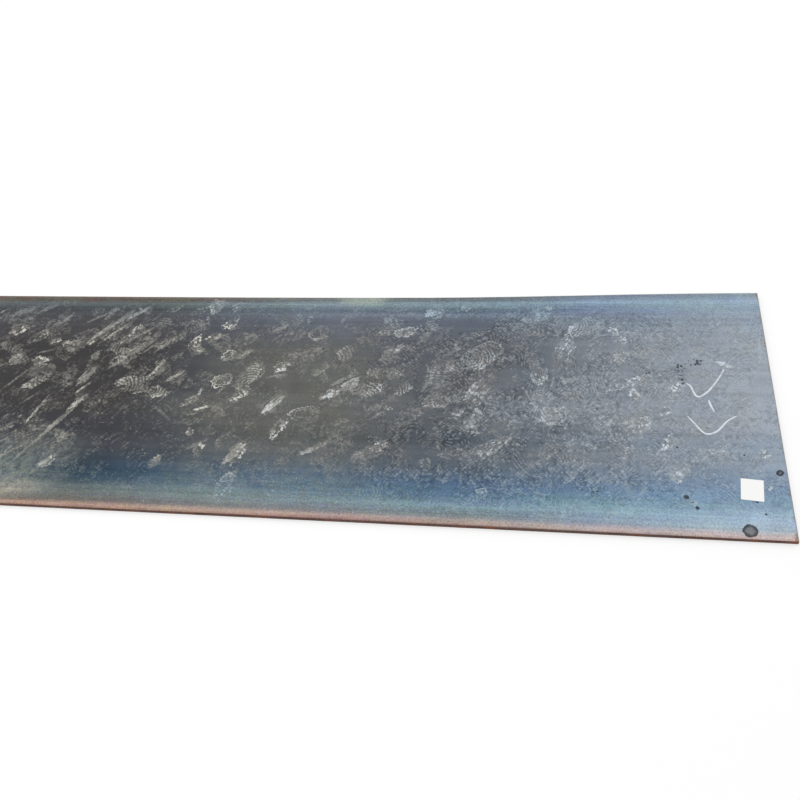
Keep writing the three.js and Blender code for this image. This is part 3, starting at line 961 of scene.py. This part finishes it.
# The pale end: partly the scale's own tint and partly a painted reflection
TINT_PALE_AND_REFLECTION = (
    (0, (186, 165, 158)), (18, (211, 197, 192)),      # pale pink oxide along the edge
    (50, (168, 184, 197)), (120, (162, 187, 201)),    # pale teal going to blue
    (200, (135, 160, 182)), (260, (130, 150, 172)),
    (400, (152, 163, 176)), (500, (149, 161, 174)), (600, (160, 169, 180)),
    (1100, (160, 169, 179)), (1330, (149, 160, 172)),
    (1380, (142, 158, 174)), (1440, (158, 178, 195)),  # the far band
    (1475, (140, 154, 167)), (1500, (150, 160, 169)),
)
OLIVE_CAST = srgb(104, 103, 95)
RIM_RED = srgb(112, 86, 81)
RIM_OLIVE = srgb(104, 106, 94)
HAZE = srgb(119, 125, 122)
HAZE_AT_EDGE = srgb(126, 130, 129)
HAZE_PALEST = srgb(160, 157, 145)
FAR_EDGE_OLIVE = srgb(154, 161, 152)
# How much light the scale's gloss adds to its tint, taken off the tints above
SHEEN = 0.03
DUST_GREY = srgb(178, 176, 167)
DUST_TAN = srgb(171, 168, 164)
DUST_PALE = srgb(180, 188, 193)
DUST_BLUE = srgb(160, 188, 204)
DUST_WHITE = srgb(208, 217, 224)
DUST_CREAM = srgb(210, 209, 199)
# Painted highlight: the colours of the small glinting flakes
PAINTED_GLINT_GREY = srgb(206, 212, 212)
PAINTED_GLINT_BLUE = srgb(176, 208, 220)
SPECK_BLACK = srgb(38, 44, 42)
# Also the colours of the painted shadow under the label
STAIN_AND_SHADOW_BLACK = srgb(30, 34, 40)
STAIN_AND_SHADOW_GREY = srgb(66, 70, 76)
STAIN_MIDDLE = srgb(122, 124, 127)


def tint_stops(tint):
    """A tint's stops for a ramp that runs from the near mill edge to the far one."""
    return [(place / 1000 / WIDTH, srgb(*colour)) for place, colour in tint]


def heat_tint(graph, position, x, y):
    """The scale's colour: bands across the plate, parallel to its edges, that change along it
    and grow paler towards the label, partly as painted reflection."""
    share = graph.attribute("across")["Fac"]
    drifting = graph.step(graph.size(y), 0.55, 0.3)
    wobble = graph.noise(position, (1.3, 2.0, 1.0), 3.0, 0.6)
    bend = graph.scaled(wobble, 0.2, 0.8, -0.012, 0.012)
    share = graph.plus(share, graph.product(bend, graph.line(drifting, 0.85, 0.15)))
    dark = graph.ramp(share, tint_stops(TINT_DARK))
    middle = graph.ramp(share, tint_stops(TINT_MIDDLE))
    pale_and_reflection = graph.ramp(share, tint_stops(TINT_PALE_AND_REFLECTION))
    shift = graph.noise(position, (0.8, 3.5, 1.0), 3.0, 0.6)
    along = graph.plus(x, graph.product(
        graph.scaled(shift, 0.2, 0.8, -0.25, 0.25), graph.line(drifting, 0.6, 0.4)))
    colour = graph.mix(graph.scaled(along, -0.35, 0.75, 0.0, 1.0), dark, middle)
    # Paler towards the labelled end: partly the scale's own tint and partly painted reflection
    colour = graph.mix(graph.step(along, 1.4, 3.1), colour, pale_and_reflection)
    olive = graph.product(graph.step(graph.gap(along, 0.65), 0.70, 0.2),
                          graph.step(graph.gap(y, -0.02), 0.5, 0.2))
    colour = graph.mix(graph.product(olive, 0.5), colour, OLIVE_CAST)
    colour = hazed(graph, position, y, along, colour)
    faded = graph.product(graph.step(graph.gap(along, 0.885), 0.19, 0.05),
                          graph.step(share, 0.94, 0.97))
    colour = graph.mix(graph.product(faded, 0.7), colour, FAR_EDGE_OLIVE)
    patchy = graph.flat_noise(position, (4.0, 9.0, 1.0), 3.0, 0.7)
    at_rim = graph.product(graph.step(share, 0.962, 0.978), graph.step(along, 0.5, 0.0))
    for low, high, patch in ((0.54, 0.62, RIM_RED), (0.48, 0.40, RIM_OLIVE)):
        cover = graph.product(at_rim, graph.step(patchy, low, high), 0.5)
        colour = graph.mix(cover, colour, patch)
    return graph.vector_math("SUBTRACT", colour, (SHEEN, SHEEN, SHEEN))


def hazed(graph, position, y, along, colour):
    """The tint under the grey haze that lies inside the near mill edge, in two stretches."""
    hazy = graph.step(graph.gap(along, -1.5), 1.15, 0.85)
    dulled = graph.step(graph.gap(along, 0.6), 0.65, 0.3)
    hazy = graph.math("MAXIMUM", hazy, graph.product(dulled, 0.46))
    haze = graph.product(hazy, graph.step(y, -0.25, -0.55), graph.step(y, -0.73, -0.67))
    smeared = graph.plus(graph.step(along, -0.52, -0.75, 0.0, 0.2), graph.scaled(
        graph.flat_noise(position, 20.0, 4.0, 0.7), 0.38, 0.62, 0.25, 0.9))
    at_edge = graph.mix(graph.step(along, -0.52, -0.75), HAZE_AT_EDGE, HAZE_PALEST)
    return graph.mix(graph.product(haze, smeared), colour, graph.mix(
        graph.step(y, -0.57, -0.66), HAZE, at_edge))


def own_place(graph, name):
    """A layer of marks: places in their own axes, how far inside, and the strength."""
    own = graph.attribute(name)["Vector"]
    strength = graph.attribute(name + "_strength")["Fac"]
    return own, graph.split(own)["Z"], strength


def inside_spot(graph, name):
    """How far a place is inside the nearest round mark of a kind."""
    from_middle = graph.split(graph.attribute(name)["Vector"])
    apart = graph.distance(from_middle["X"], from_middle["Y"])
    return graph.minus(from_middle["Z"], apart)


def tread_mask(graph, treads, kind, index, place, broken):
    """The pattern that one layer of a kind of sole leaves."""
    if kind == "block":
        return graph.group(treads[kind], Place=place, Cell=LUG_CELL)["Mask"]
    if kind == "dot":
        place = graph.stretched(place, DOT_STRETCH[index])
        return graph.group(treads[kind], Place=place, Cell=DOT_CELL)["Mask"]
    ribs = graph.group(treads[kind], Place=place, Pitch=RIB_PITCH, Zigzag=RIB_ZIGZAG,
                       Curl=RIB_CURL[index])
    return graph.product(broken, ribs["Mask"])


def dust_amount(graph, position, names, treads):
    """How thick the dust of all the prints and drags is, and how pressed a place is."""
    ragged = graph.spread(graph.flat_noise(position, 60.0, 3.0, 0.6), -0.009, 0.006)
    worn = graph.flat_noise(position, 26.0, 2.0, 0.6)
    grit = graph.spread(graph.flat_noise(position, 150.0, 2.0, 0.65), 0.74, 1.16)
    lined = graph.step(graph.flat_noise(position, 11.0, 1.0), 0.46, 0.56)
    bend = graph.spread(worn, -0.006, 0.006)
    fray = graph.spread(graph.flat_noise(position, 95.0, 1.0), -0.003, 0.003)
    shift = graph.join(graph.plus(bend, fray), graph.line(bend, -0.7, fray))
    broken = graph.step(fray, -0.0022, 0.0008, 0.4, 1.0)
    clear = 1.0
    dry = 1.0
    for kind, film in PRINT_FILMS:
        for index, name in enumerate(names[kind]):
            own, inside, strength = own_place(graph, name)
            edge = graph.group(treads["edge"], Inside=inside, Ragged=ragged, Pitch=RIM_PITCH)
            if kind == "ring":
                body = edge["Rim"]
            else:
                place = graph.vector_math("ADD", own, shift)
                body = tread_mask(graph, treads, kind, index, place, broken)
            body = graph.math("MAXIMUM", body, graph.product(edge["Outline"], lined, 0.8))
            body = graph.line(body, 1.0 - film, film)
            wear = graph.step(graph.line(strength, 0.22, worn), 0.40, 0.56)
            pressed = graph.product(edge["Area"], strength, wear)
            amount = graph.product(pressed, body)
            dry = graph.product(graph.rest(pressed), dry)
            clear = graph.product(graph.rest(amount), clear)
    for name in names["drag"]:
        own = graph.attribute(name)["Vector"]
        drag = graph.group(treads["drag"], Place=own, Ragged=ragged)
        amount = graph.product(drag["Mask"], graph.attribute(name + "_strength")["Fac"])
        clear = graph.product(graph.rest(amount), clear)
    dust = graph.math("MINIMUM", graph.product(graph.rest(clear), grit), 1.0)
    return dust, graph.rest(dry)


def trodden_veil(graph, position, x, y, names):
    """The film left by many old prints, in drifting patches: how much each place is lighter
    or darker for it, from -1 to 1. Of the bare patches only the last layer clears it."""
    _, inside, strength = own_place(graph, names["clean"][-1])
    clean = graph.rest(graph.product(graph.step(inside, -0.005, 0.02), strength))
    coverage = graph.flat_noise(position, 7.0, 5.0, 0.7)
    trodden_more = graph.step(x, 0.9, 1.8, 0.0, 0.05)
    patches = graph.step(graph.plus(coverage, trodden_more), 0.40, 0.56)
    closer = graph.line(x, 0.04, 1.0)
    drawn = graph.vector_math("MULTIPLY", position, graph.join(closer, closer, closer))
    swirl = graph.flat_noise(drawn, 5.0, 0.0)
    bent = graph.vector_math("ADD", graph.turned(drawn, 38), graph.join(
        graph.product(swirl, 0.06), graph.product(swirl, -0.045)))
    apart, luck = graph.flat_cells(bent, 58.0, 0.45)
    studs = graph.product(graph.step(apart, 0.50, 0.25), graph.step(luck, -0.2, 1.0))
    rings = graph.product(
        graph.step(graph.gap(apart, 0.42), 0.2, 0.08), graph.step(luck, 0.8, 0.85))
    dots = graph.math("MAXIMUM", studs, rings)
    ridges = graph.step(graph.math("SINE", graph.product(swirl, 95.0)), -0.1, 0.7)
    ridges = graph.product(ridges, graph.step(
        graph.flat_noise(position, 40.0, 1.0, 0.6), 0.44, 0.54))
    kind = graph.step(graph.flat_noise(position, 8.0, 1.0), 0.5, 0.56)
    tread = graph.plus(
        graph.product(dots, graph.rest(kind)), graph.product(ridges, kind, 0.8))
    smears = graph.spread(graph.flat_noise(position, 45.0, 3.0, 0.65), -0.35, 0.35)
    wipes = graph.flat_noise(graph.turned(position, -52), (9.0, 75.0, 1.0), 3.0, 0.65)
    wipes = graph.product(
        graph.scaled(wipes, 0.45, 0.72, -0.2, 0.8), graph.step(x, 0.5, -0.4))
    film = graph.plus(graph.plus(graph.minus(tread, 0.25), smears), wipes)
    from_edge = graph.step(graph.size(y), SIDE_Y - 0.02, SIDE_Y - 0.3)
    along = graph.product(
        graph.step(x, 0.6, 1.6, 0.4, 0.9), graph.step(x, 3.0, 2.2, 0.85, 1.1))
    return graph.product(film, patches, clean, along, graph.line(from_edge, 0.65, 0.35))


def scale_shade(graph, x, y, streaks, mottle, grain):
    """How light the scale is, how near its sides a place is and how near the label."""
    shade = graph.plus(1.0, graph.product(streaks["Broad"], 0.10))
    at_side = graph.step(graph.size(y), SIDE_Y - 0.32, SIDE_Y - 0.16)
    shade = graph.plus(shade, graph.product(
        streaks["Fine"], graph.step(x, 2.9, 1.6, 0.6, 1.0), graph.line(at_side, 0.08, 0.07)))
    layered = graph.step(graph.size(y), 0.1, 0.35, 0.05, 0.10)
    shade = graph.plus(shade, graph.product(streaks["Lines"], layered))
    shade = graph.plus(shade, graph.spread(mottle, -0.095, 0.08))
    shade = graph.plus(shade, graph.step(x, 2.65, 2.9, 0.0, 0.05))
    at_label = graph.step(x, 1.2, 2.6)
    speckled = graph.product(at_side, graph.line(at_label, -0.6, 1.5))
    shade = graph.plus(shade, graph.product(
        graph.spread(grain), graph.line(speckled, 0.12, 0.12)))
    return shade, at_side, at_label


def scale_lean(graph, position, x, at_side, at_label):
    """How the scale leans to red, green and blue, and where its dust is warm."""
    teal = graph.spread(graph.flat_noise(position, (1.6, 16.0, 1.0), 2.0, 0.55))
    fleck = graph.spread(graph.flat_noise(position, (26.0, 60.0, 1.0), 3.0, 0.65))
    fleck = graph.product(fleck, graph.line(at_label, -1.1, 1.7))
    teal = graph.product(graph.plus(teal, fleck), at_side)
    green = graph.line(teal, 0.06, 1.0)
    deeper = graph.product(at_side, graph.step(graph.gap(x, 1.95), 0.9, 0.4))
    red = graph.line(teal, 0.025, graph.line(deeper, -0.05, 1.0))
    blue = graph.line(teal, -0.01, graph.line(deeper, 0.06, 1.0))
    warmth = graph.product(
        graph.step(graph.flat_noise(position, 4.5, 3.0, 0.6), 0.42, 0.62),
        graph.step(x, 0.1, 0.8), graph.step(x, 2.7, 1.5, 0.35, 1.0), graph.rest(at_side))
    hue = graph.spread(graph.flat_noise(position, 5.0, 5.0, 0.75))
    warmed = graph.product(warmth, graph.step(x, 1.6, 0.9))
    red = graph.line(hue, 0.026, graph.line(warmed, 0.02, red))
    blue = graph.line(hue, -0.036, graph.line(warmed, -0.04, blue))
    return (red, green, blue), warmth


def dust_colour(graph, x, y, dust, warmth, at_side):
    """The dust's colour: grey to pale along the plate, tan in places, bluer along the sides
    and near white where it is thickest."""
    colour = graph.mix(graph.step(x, 0.6, 2.0), DUST_GREY, DUST_PALE)
    inland = graph.step(graph.size(y), SIDE_Y - 0.2, SIDE_Y - 0.4)
    colour = graph.mix(graph.product(warmth, inland), colour, DUST_TAN)
    thickest = graph.mix(graph.step(x, 0.0, 1.2), DUST_CREAM, DUST_WHITE)
    colour = graph.mix(graph.step(dust, 0.5, 0.85), colour, thickest)
    bluish = graph.product(at_side, graph.step(x, -0.4, 0.6, 0.25, 0.65))
    return graph.mix(bluish, colour, DUST_BLUE)


def with_painted_glints(graph, position, at_side, colour):
    """Small flakes painted bright as glints, a painted highlight, bluer along the sides."""
    apart, luck = graph.flat_cells(position, 45.0)
    chosen = graph.flat_noise(position, 7.0, 3.0, 0.65)
    painted_glint = graph.product(graph.step(apart, 0.2, 0.08), graph.step(luck, 0.75, 1.0),
                          graph.step(chosen, 0.47, 0.60), 0.35)
    return graph.mix(painted_glint, colour, graph.mix(at_side, PAINTED_GLINT_GREY, PAINTED_GLINT_BLUE))


def with_specks(graph, position, colour):
    """Black specks where they gather."""
    gathered = graph.plus(inside_spot(graph, "speck"), graph.spread(
        graph.flat_noise(position, 60.0), -0.02, 0.01))
    apart, luck = graph.flat_cells(position, 64.0)
    speck = graph.product(graph.step(apart, 0.60, 0.36), graph.step(luck, 0.25, 0.5),
                          graph.step(gathered, -0.002, 0.004))
    return graph.mix(graph.product(speck, 0.85), colour, SPECK_BLACK)


def with_stains_and_label_shadow(graph, position, colour):
    """Dark spots of oil, greyer in their middle, and a painted shadow in the same dark under
    the label's lower edge, and where they all are.
    """
    inside = graph.plus(inside_spot(graph, "stain_and_shadow"), graph.spread(
        graph.flat_noise(position, 60.0, 2.0), -0.0028, 0.0022))
    stain_and_shadow = graph.step(inside, -0.001, 0.0015)
    shade = graph.mix(graph.flat_noise(position, 160.0, 2.0), STAIN_AND_SHADOW_BLACK, STAIN_AND_SHADOW_GREY)
    shade = graph.mix(graph.step(inside, 0.006, 0.020, 0.0, 0.9), shade, STAIN_MIDDLE)
    return graph.mix(graph.product(stain_and_shadow, 0.92), colour, shade), stain_and_shadow


def mill_scale_face(names, treads, streak_tree, rust_tree):
    """The top face: tinted scale, paler towards the label partly as painted reflection, under
    trodden dust, with painted glints, specks, stains, a painted shadow under the label and a
    little rust.
    """
    material, graph, shader, position = new_material("mill_scale_face")
    place = graph.split(position)
    x, y = place["X"], place["Y"]
    colour = heat_tint(graph, position, x, y)
    streaks = graph.group(streak_tree, Position=position)
    mottle = graph.flat_noise(position, 9.0, 4.0, 0.62)
    grain = graph.flat_noise(position, 110.0, 3.0, 0.7)
    shade, at_side, at_label = scale_shade(graph, x, y, streaks, mottle, grain)
    leans, warmth = scale_lean(graph, position, x, at_side, at_label)
    colour = graph.shaded(colour, *[graph.product(shade, lean) for lean in leans])

    veil = trodden_veil(graph, position, x, y, names)
    dust, damp = dust_amount(graph, position, names, treads)
    gaps = graph.product(
        graph.math("MINIMUM", veil, 0.0), graph.step(x, 0.2, 1.4, 0.65, 0.85),
        graph.step(x, 2.8, 1.8, 0.7, 1.0))
    rubbed = graph.product(graph.plus(gaps, 1.0), graph.line(damp, -0.32, 1.0))
    colour = graph.shaded(colour, rubbed, rubbed, rubbed)
    undusted = graph.rest(dust)
    film = graph.product(
        graph.math("MAXIMUM", veil, 0.0), graph.scaled(grain, 0.35, 0.65, 0.45, 1.5),
        graph.step(x, 1.4, 2.4, 0.38, 0.52))
    dust = graph.rest(graph.product(undusted, graph.rest(film)))
    colour = graph.mix(dust, colour, dust_colour(graph, x, y, dust, warmth, at_side))

    # Painted glints: small painted highlights on flakes of the scale
    colour = with_painted_glints(graph, position, at_side, colour)
    colour = with_specks(graph, position, colour)
    # Oil stains, and the painted shadow under the label's lower edge
    colour, stain_and_shadow = with_stains_and_label_shadow(graph, position, colour)
    from_end = graph.minus(END_X, graph.size(x))
    rust = graph.group(rust_tree, Position=position,
                       Amount=graph.step(from_end, 0.035, 0.0, 0.1, 0.8))
    colour = graph.mix(graph.product(rust["Mask"], 0.6), colour, rust["Color"])
    roughness = graph.plus(graph.line(dust, 0.3, 0.48), graph.spread(grain, -0.06, 0.06))
    roughness = graph.minus(roughness, graph.product(stain_and_shadow, 0.25))
    metallic = graph.line(dust, -0.35, 0.4)
    finish(graph, shader, colour, roughness, metallic, gloss=0.15)
    relief = graph.plus(grain, graph.product(streaks["Fine"], 0.3))
    roughen(graph, shader, 0.35, 0.0004, relief)
    return material


# ---------------------------------------------------------------------------------------
# The sides, the underside and the whole plate
# ---------------------------------------------------------------------------------------
EDGE_OXIDE = ((0.25, srgb(62, 42, 38)), (0.45, srgb(92, 66, 58)), (0.6, srgb(112, 84, 74)),
              (0.8, srgb(136, 108, 98)))
EDGE_FLAKE = srgb(70, 56, 54)
LAND_DARK = srgb(112, 112, 114)
LAND_BRIGHT = srgb(172, 173, 175)
BREAK_DARK = srgb(72, 70, 70)
BREAK_PALE = srgb(128, 124, 120)
# Scale on the cut end's rollover, painted light as a highlight along that edge
ROLLOVER_SCALE_AND_HIGHLIGHT = srgb(140, 146, 144)
UNDERSIDE_GREYS = ((0.3, srgb(66, 68, 72)), (0.5, srgb(84, 87, 92)), (0.7, srgb(104, 104, 104)))


def mill_edge(rust_tree):
    """The rolled side: dark red-brown oxide in flat flakes, with rust coming through."""
    material, graph, shader, position = new_material("mill_edge_oxide")
    drawn = graph.noise(position, (7.0, 7.0, 240.0), 3.0, 0.6)
    flakes = graph.noise(position, 90.0, 4.0, 0.7)
    colour = graph.ramp(drawn, EDGE_OXIDE)
    colour = graph.mix(graph.step(flakes, 0.4, 0.65, 0.0, 0.6), colour, EDGE_FLAKE)
    rust = graph.group(rust_tree, Position=position, Amount=0.62)
    colour = graph.mix(graph.product(rust["Mask"], 0.8), colour, rust["Color"])
    finish(graph, shader, colour, graph.spread(flakes, 0.6, 0.85), 0.15, gloss=0.3)
    roughen(graph, shader, 0.5, 0.0006, graph.plus(graph.product(drawn, 0.8), flakes))
    return material


def sheared_end(rust_tree):
    """The cut end: a scored bright land under the rollover, a torn grey break, and scale on the
    rollover painted light as a highlight.
    """
    material, graph, shader, position = new_material("sheared_end_steel")
    place = graph.split(position)
    front = graph.math("GREATER_THAN", place["X"], 0.0)
    from_top = graph.minus(THICKNESS, place["Z"])
    depth = graph.plus(graph.product(front, from_top),
                       graph.product(graph.rest(front), place["Z"]))
    uneven = graph.spread(graph.noise(position, 45.0, 2.0), -0.001, 0.001)
    land_foot = ROLLOVER_DROP + LAND_HEIGHT
    torn = graph.step(graph.plus(depth, uneven), land_foot - 0.0003, land_foot + 0.0003)
    scores = graph.noise(position, (1.0, 900.0, 25.0), 2.0, 0.6)
    crumble = graph.noise(position, 420.0, 3.0, 0.7)
    land = graph.mix(scores, LAND_DARK, LAND_BRIGHT)
    colour = graph.mix(torn, land, graph.mix(crumble, BREAK_DARK, BREAK_PALE))
    # The rollover keeps its scale, painted lighter as a highlight
    rollover_scale_and_highlight = graph.step(depth, ROLLOVER_DROP + 0.0006, ROLLOVER_DROP - 0.0006)
    colour = graph.mix(rollover_scale_and_highlight, colour, ROLLOVER_SCALE_AND_HIGHLIGHT)
    rust = graph.group(rust_tree, Position=position, Amount=graph.line(torn, 0.25, 0.45))
    colour = graph.mix(graph.product(rust["Mask"], 0.85), colour, rust["Color"])
    metallic = graph.product(graph.rest(rust["Mask"]), graph.line(torn, -0.4, 0.85))
    roughness = graph.plus(graph.line(torn, 0.25, 0.36), graph.product(rust["Mask"], 0.2))
    finish(graph, shader, colour, roughness, metallic)
    relief = graph.plus(graph.product(crumble, torn), graph.product(scores, 0.25))
    roughen(graph, shader, 0.6, 0.0005, relief)
    return material


def underside_scale(streak_tree, rust_tree):
    """The underside: the same scale, with no prints and rust where it has lain."""
    material, graph, shader, position = new_material("underside_scale")
    streaks = graph.group(streak_tree, Position=position)
    patches = graph.noise(position, 4.0, 5.0, 0.65)
    colour = graph.ramp(patches, UNDERSIDE_GREYS)
    shade = graph.line(streaks["Broad"], 0.08, 1.0)
    colour = graph.shaded(colour, shade, shade, shade)
    rust = graph.group(rust_tree, Position=position, Amount=0.55)
    colour = graph.mix(graph.product(rust["Mask"], 0.7), colour, rust["Color"])
    finish(graph, shader, colour, graph.spread(patches, 0.5, 0.7), 0.4)
    return material


def rolled_plate():
    """The plate, in place of the plain one, with its four finishes."""
    mesh = plate_mesh()
    names = mark_face(mesh)
    treads = {
        "block": make_stud_tread(
            "block_tread", 0.75, (0.50, 0.34), (0.28, 0.12), (0.55, 0.45), -0.2),
        "dot": make_stud_tread(
            "dot_tread", 0.35, (0.46, 0.28), (0.24, 0.10), (0.5, 0.4), -0.1),
        "rib": make_rib_tread(), "edge": make_print_edge(), "drag": make_drag()}
    streak_tree = make_rolling_streaks()
    rust_tree = make_rust_bloom()
    for material in (mill_scale_face(names, treads, streak_tree, rust_tree),
                     mill_edge(rust_tree), sheared_end(rust_tree),
                     underside_scale(streak_tree, rust_tree)):
        mesh.materials.append(material)
    plate = put_in_scene("rolled_plate", mesh)
    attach(plate, "root")
    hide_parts("steel_plate")


# ---------------------------------------------------------------------------------------
# Label
# ---------------------------------------------------------------------------------------
PAPER_WHITES = (srgb(246, 246, 244), srgb(252, 252, 251))
PAPER_SOILED = srgb(214, 212, 206)


def dress_label():
    """White paper with a fine fibre, a little soiled."""
    material, graph, shader, position = new_material("label_paper")
    fibre = graph.noise(position, 700.0, 3.0, 0.6)
    soiling = graph.noise(position, 22.0, 4.0, 0.7)
    colour = graph.mix(fibre, *PAPER_WHITES)
    colour = graph.mix(graph.step(soiling, 0.62, 0.8, 0.0, 0.35), colour, PAPER_SOILED)
    finish(graph, shader, colour, graph.spread(fibre, 0.72, 0.88))
    roughen(graph, shader, 0.3, 0.0002, fibre)
    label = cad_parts["stock_label"]
    label.data.materials.clear()
    label.data.materials.append(material)


# ---------------------------------------------------------------------------------------
# Chalk
# Each stroke is the points its middle runs through, on the top face.
# ---------------------------------------------------------------------------------------
CHALK_STROKES = (
    ((2.606, 0.112), (2.624, 0.092), (2.650, 0.030), (2.700, 0.062), (2.752, 0.140),
     (2.786, 0.206)),
    ((2.700, 0.010), (2.706, -0.020), (2.720, -0.062)),
    ((2.598, -0.092), (2.624, -0.132), (2.668, -0.192), (2.720, -0.180), (2.772, -0.118),
     (2.818, -0.084)),
)
CHALK_WIDTH = 0.0094
CHALK_HEIGHT = 0.0001
CHALK_STEPS = 60
CHALK_THIN = srgb(160, 168, 178)
CHALK_THICK = srgb(220, 225, 230)


def along_stroke(points, share):
    """The place at a share of the way along a stroke, rounded between its points."""
    reach = share * (len(points) - 1)
    index = min(int(reach), len(points) - 2)
    before = Vector(points[max(index - 1, 0)])
    first, second = Vector(points[index]), Vector(points[index + 1])
    after = Vector(points[min(index + 2, len(points) - 1)])
    t = reach - index
    return 0.5 * (2 * first + (second - before) * t
                  + (2 * before - 5 * first + 4 * second - after) * t ** 2
                  + (3 * first - before - 3 * second + after) * t ** 3)


def dry_chalk():
    """Chalk that covers the steel in grains."""
    material, graph, shader, position = new_material("dry_chalk")
    grain = graph.flat_noise(position, 420.0, 3.0, 0.7)
    body = graph.flat_noise(position, 36.0, 2.0, 0.6)
    cover = graph.step(graph.plus(grain, graph.product(body, 0.5)), 0.52, 0.76)
    colour = graph.mix(cover, CHALK_THIN, CHALK_THICK)
    finish(graph, shader, colour, graph.spread(grain, 0.8, 0.95))
    roughen(graph, shader, 0.5, 0.0002, grain)
    return material


def chalk_marks():
    """Plain hand-drawn ticks with a dash between them, as thin strips of chalk."""
    shape = bmesh.new()
    for points in CHALK_STROKES:
        strip = bmesh.ops.create_grid(
            shape, x_segments=CHALK_STEPS, y_segments=1, size=0.5)["verts"]
        for vert in strip:
            share = vert.co.x + 0.5
            here = along_stroke(points, share)
            onward = along_stroke(points, min(share + 0.01, 1.0))
            backward = along_stroke(points, max(share - 0.01, 0.0))
            side = (onward - backward).normalized().orthogonal()
            taper = 0.55 + 0.45 * math.sin(math.pi * min(max(share, 0.06), 0.94))
            half = math.copysign(CHALK_WIDTH / 2 * taper, vert.co.y)
            vert.co = (here.x + side.x * half, here.y + side.y * half, THICKNESS)
    walls = bmesh.ops.extrude_face_region(shape, geom=list(shape.faces))["geom"]
    top = [part for part in walls if isinstance(part, bmesh.types.BMVert)]
    bmesh.ops.translate(shape, vec=(0.0, 0.0, CHALK_HEIGHT), verts=top)
    bmesh.ops.recalc_face_normals(shape, faces=shape.faces)
    mesh = mesh_of(shape, "chalk_marks")
    mesh.materials.append(dry_chalk())
    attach(put_in_scene("chalk_marks", mesh), "root")


# ---------------------------------------------------------------------------------------
# Floor, light and camera
# ---------------------------------------------------------------------------------------
FLOOR_REACH = 60.0
FLOOR_WHITE = (0.9, 0.9, 0.9, 1.0)
FLOOR_OWN_SHADE = 0.55
FLOOR_GLOW = 1.1
FLOOR_PLAIN_FROM = 5.0
PURE_WHITE = (1.0, 1.0, 1.0, 1.0)
ROOM_LIGHT = 0.80
LAMP_WATTS = 240.0
LAMP_PLACE = (-1.5, 3.0, 7.5)
LAMP_SIZE = 9.0


def bare_graph(tree):
    """A graph on a node tree that is emptied first."""
    tree.nodes.clear()
    return Graph(tree)


def seen_directly(graph):
    """1 for what the camera sees, straight or in a gloss, and 0 for light on its way."""
    path = graph.add("ShaderNodeLightPath").outputs
    seen = graph.math("MAXIMUM", path["Is Camera Ray"], path["Is Glossy Ray"])
    return graph.math("MAXIMUM", seen, path["Is Transmission Ray"])


def floor():
    """A white floor that takes the plate's shadow and turns plain white further out."""
    shape = bmesh.new()
    bmesh.ops.create_grid(shape, x_segments=1, y_segments=1, size=FLOOR_REACH)
    mesh = mesh_of(shape, "floor")
    material = bpy.data.materials.new("floor_white")
    material.use_nodes = True
    graph = bare_graph(material.node_tree)
    matte = graph.add("ShaderNodeBsdfDiffuse", {"Color": FLOOR_WHITE})
    glow = graph.add("ShaderNodeEmission", {"Color": PURE_WHITE, "Strength": FLOOR_GLOW})
    spread = graph.vector_math("LENGTH", graph.object_place())
    share = graph.product(seen_directly(graph), graph.step(
        spread, FLOOR_PLAIN_FROM, 2 * FLOOR_PLAIN_FROM, FLOOR_OWN_SHADE, 1.0))
    blend = graph.add("ShaderNodeMixShader", {
        0: share, 1: matte.outputs[0], 2: glow.outputs[0]})
    graph.add("ShaderNodeOutputMaterial", {"Surface": blend.outputs[0]})
    mesh.materials.append(material)
    put_in_scene("floor", mesh)


def light():
    """A pale room and one large soft lamp above it."""
    world = bpy.data.worlds.new("studio")
    bpy.context.scene.world = world
    world.use_nodes = True
    graph = bare_graph(world.node_tree)
    strength = graph.line(seen_directly(graph), 1.0 - ROOM_LIGHT, ROOM_LIGHT)
    room = graph.add("ShaderNodeBackground", {"Color": PURE_WHITE, "Strength": strength})
    graph.add("ShaderNodeOutputWorld", {"Surface": room.outputs[0]})
    lamp = bpy.data.lights.new("softbox", "AREA")
    lamp.shape = "SQUARE"
    lamp.size = LAMP_SIZE
    lamp.energy = LAMP_WATTS
    softbox = put_in_scene("softbox", lamp)
    softbox.location = LAMP_PLACE
    softbox.rotation_mode = "QUATERNION"
    softbox.rotation_quaternion = (-Vector(LAMP_PLACE)).to_track_quat("-Z", "Y")


def camera():
    """The camera, turned to its heading, dipped and then rolled."""
    lens = bpy.data.cameras.new("camera")
    lens.sensor_width = SENSOR_MM
    lens.lens = SENSOR_MM * FOCAL_PIXELS / FRAME_PIXELS
    lens.clip_end = CAMERA_SIGHT
    eye = put_in_scene("camera", lens)
    turn = Matrix.Rotation(CAMERA_HEADING, 4, "Z")
    tip = Matrix.Rotation(math.pi / 2 - CAMERA_DIP, 4, "X")
    roll = Matrix.Rotation(-CAMERA_ROLL, 4, "Z")
    eye.matrix_world = Matrix.Translation(CAMERA_PLACE) @ turn @ tip @ roll
    bpy.context.scene.camera = eye


rolled_plate()
dress_label()
chalk_marks()
floor()
light()
camera()
bpy.context.scene.view_settings.view_transform = "Standard"
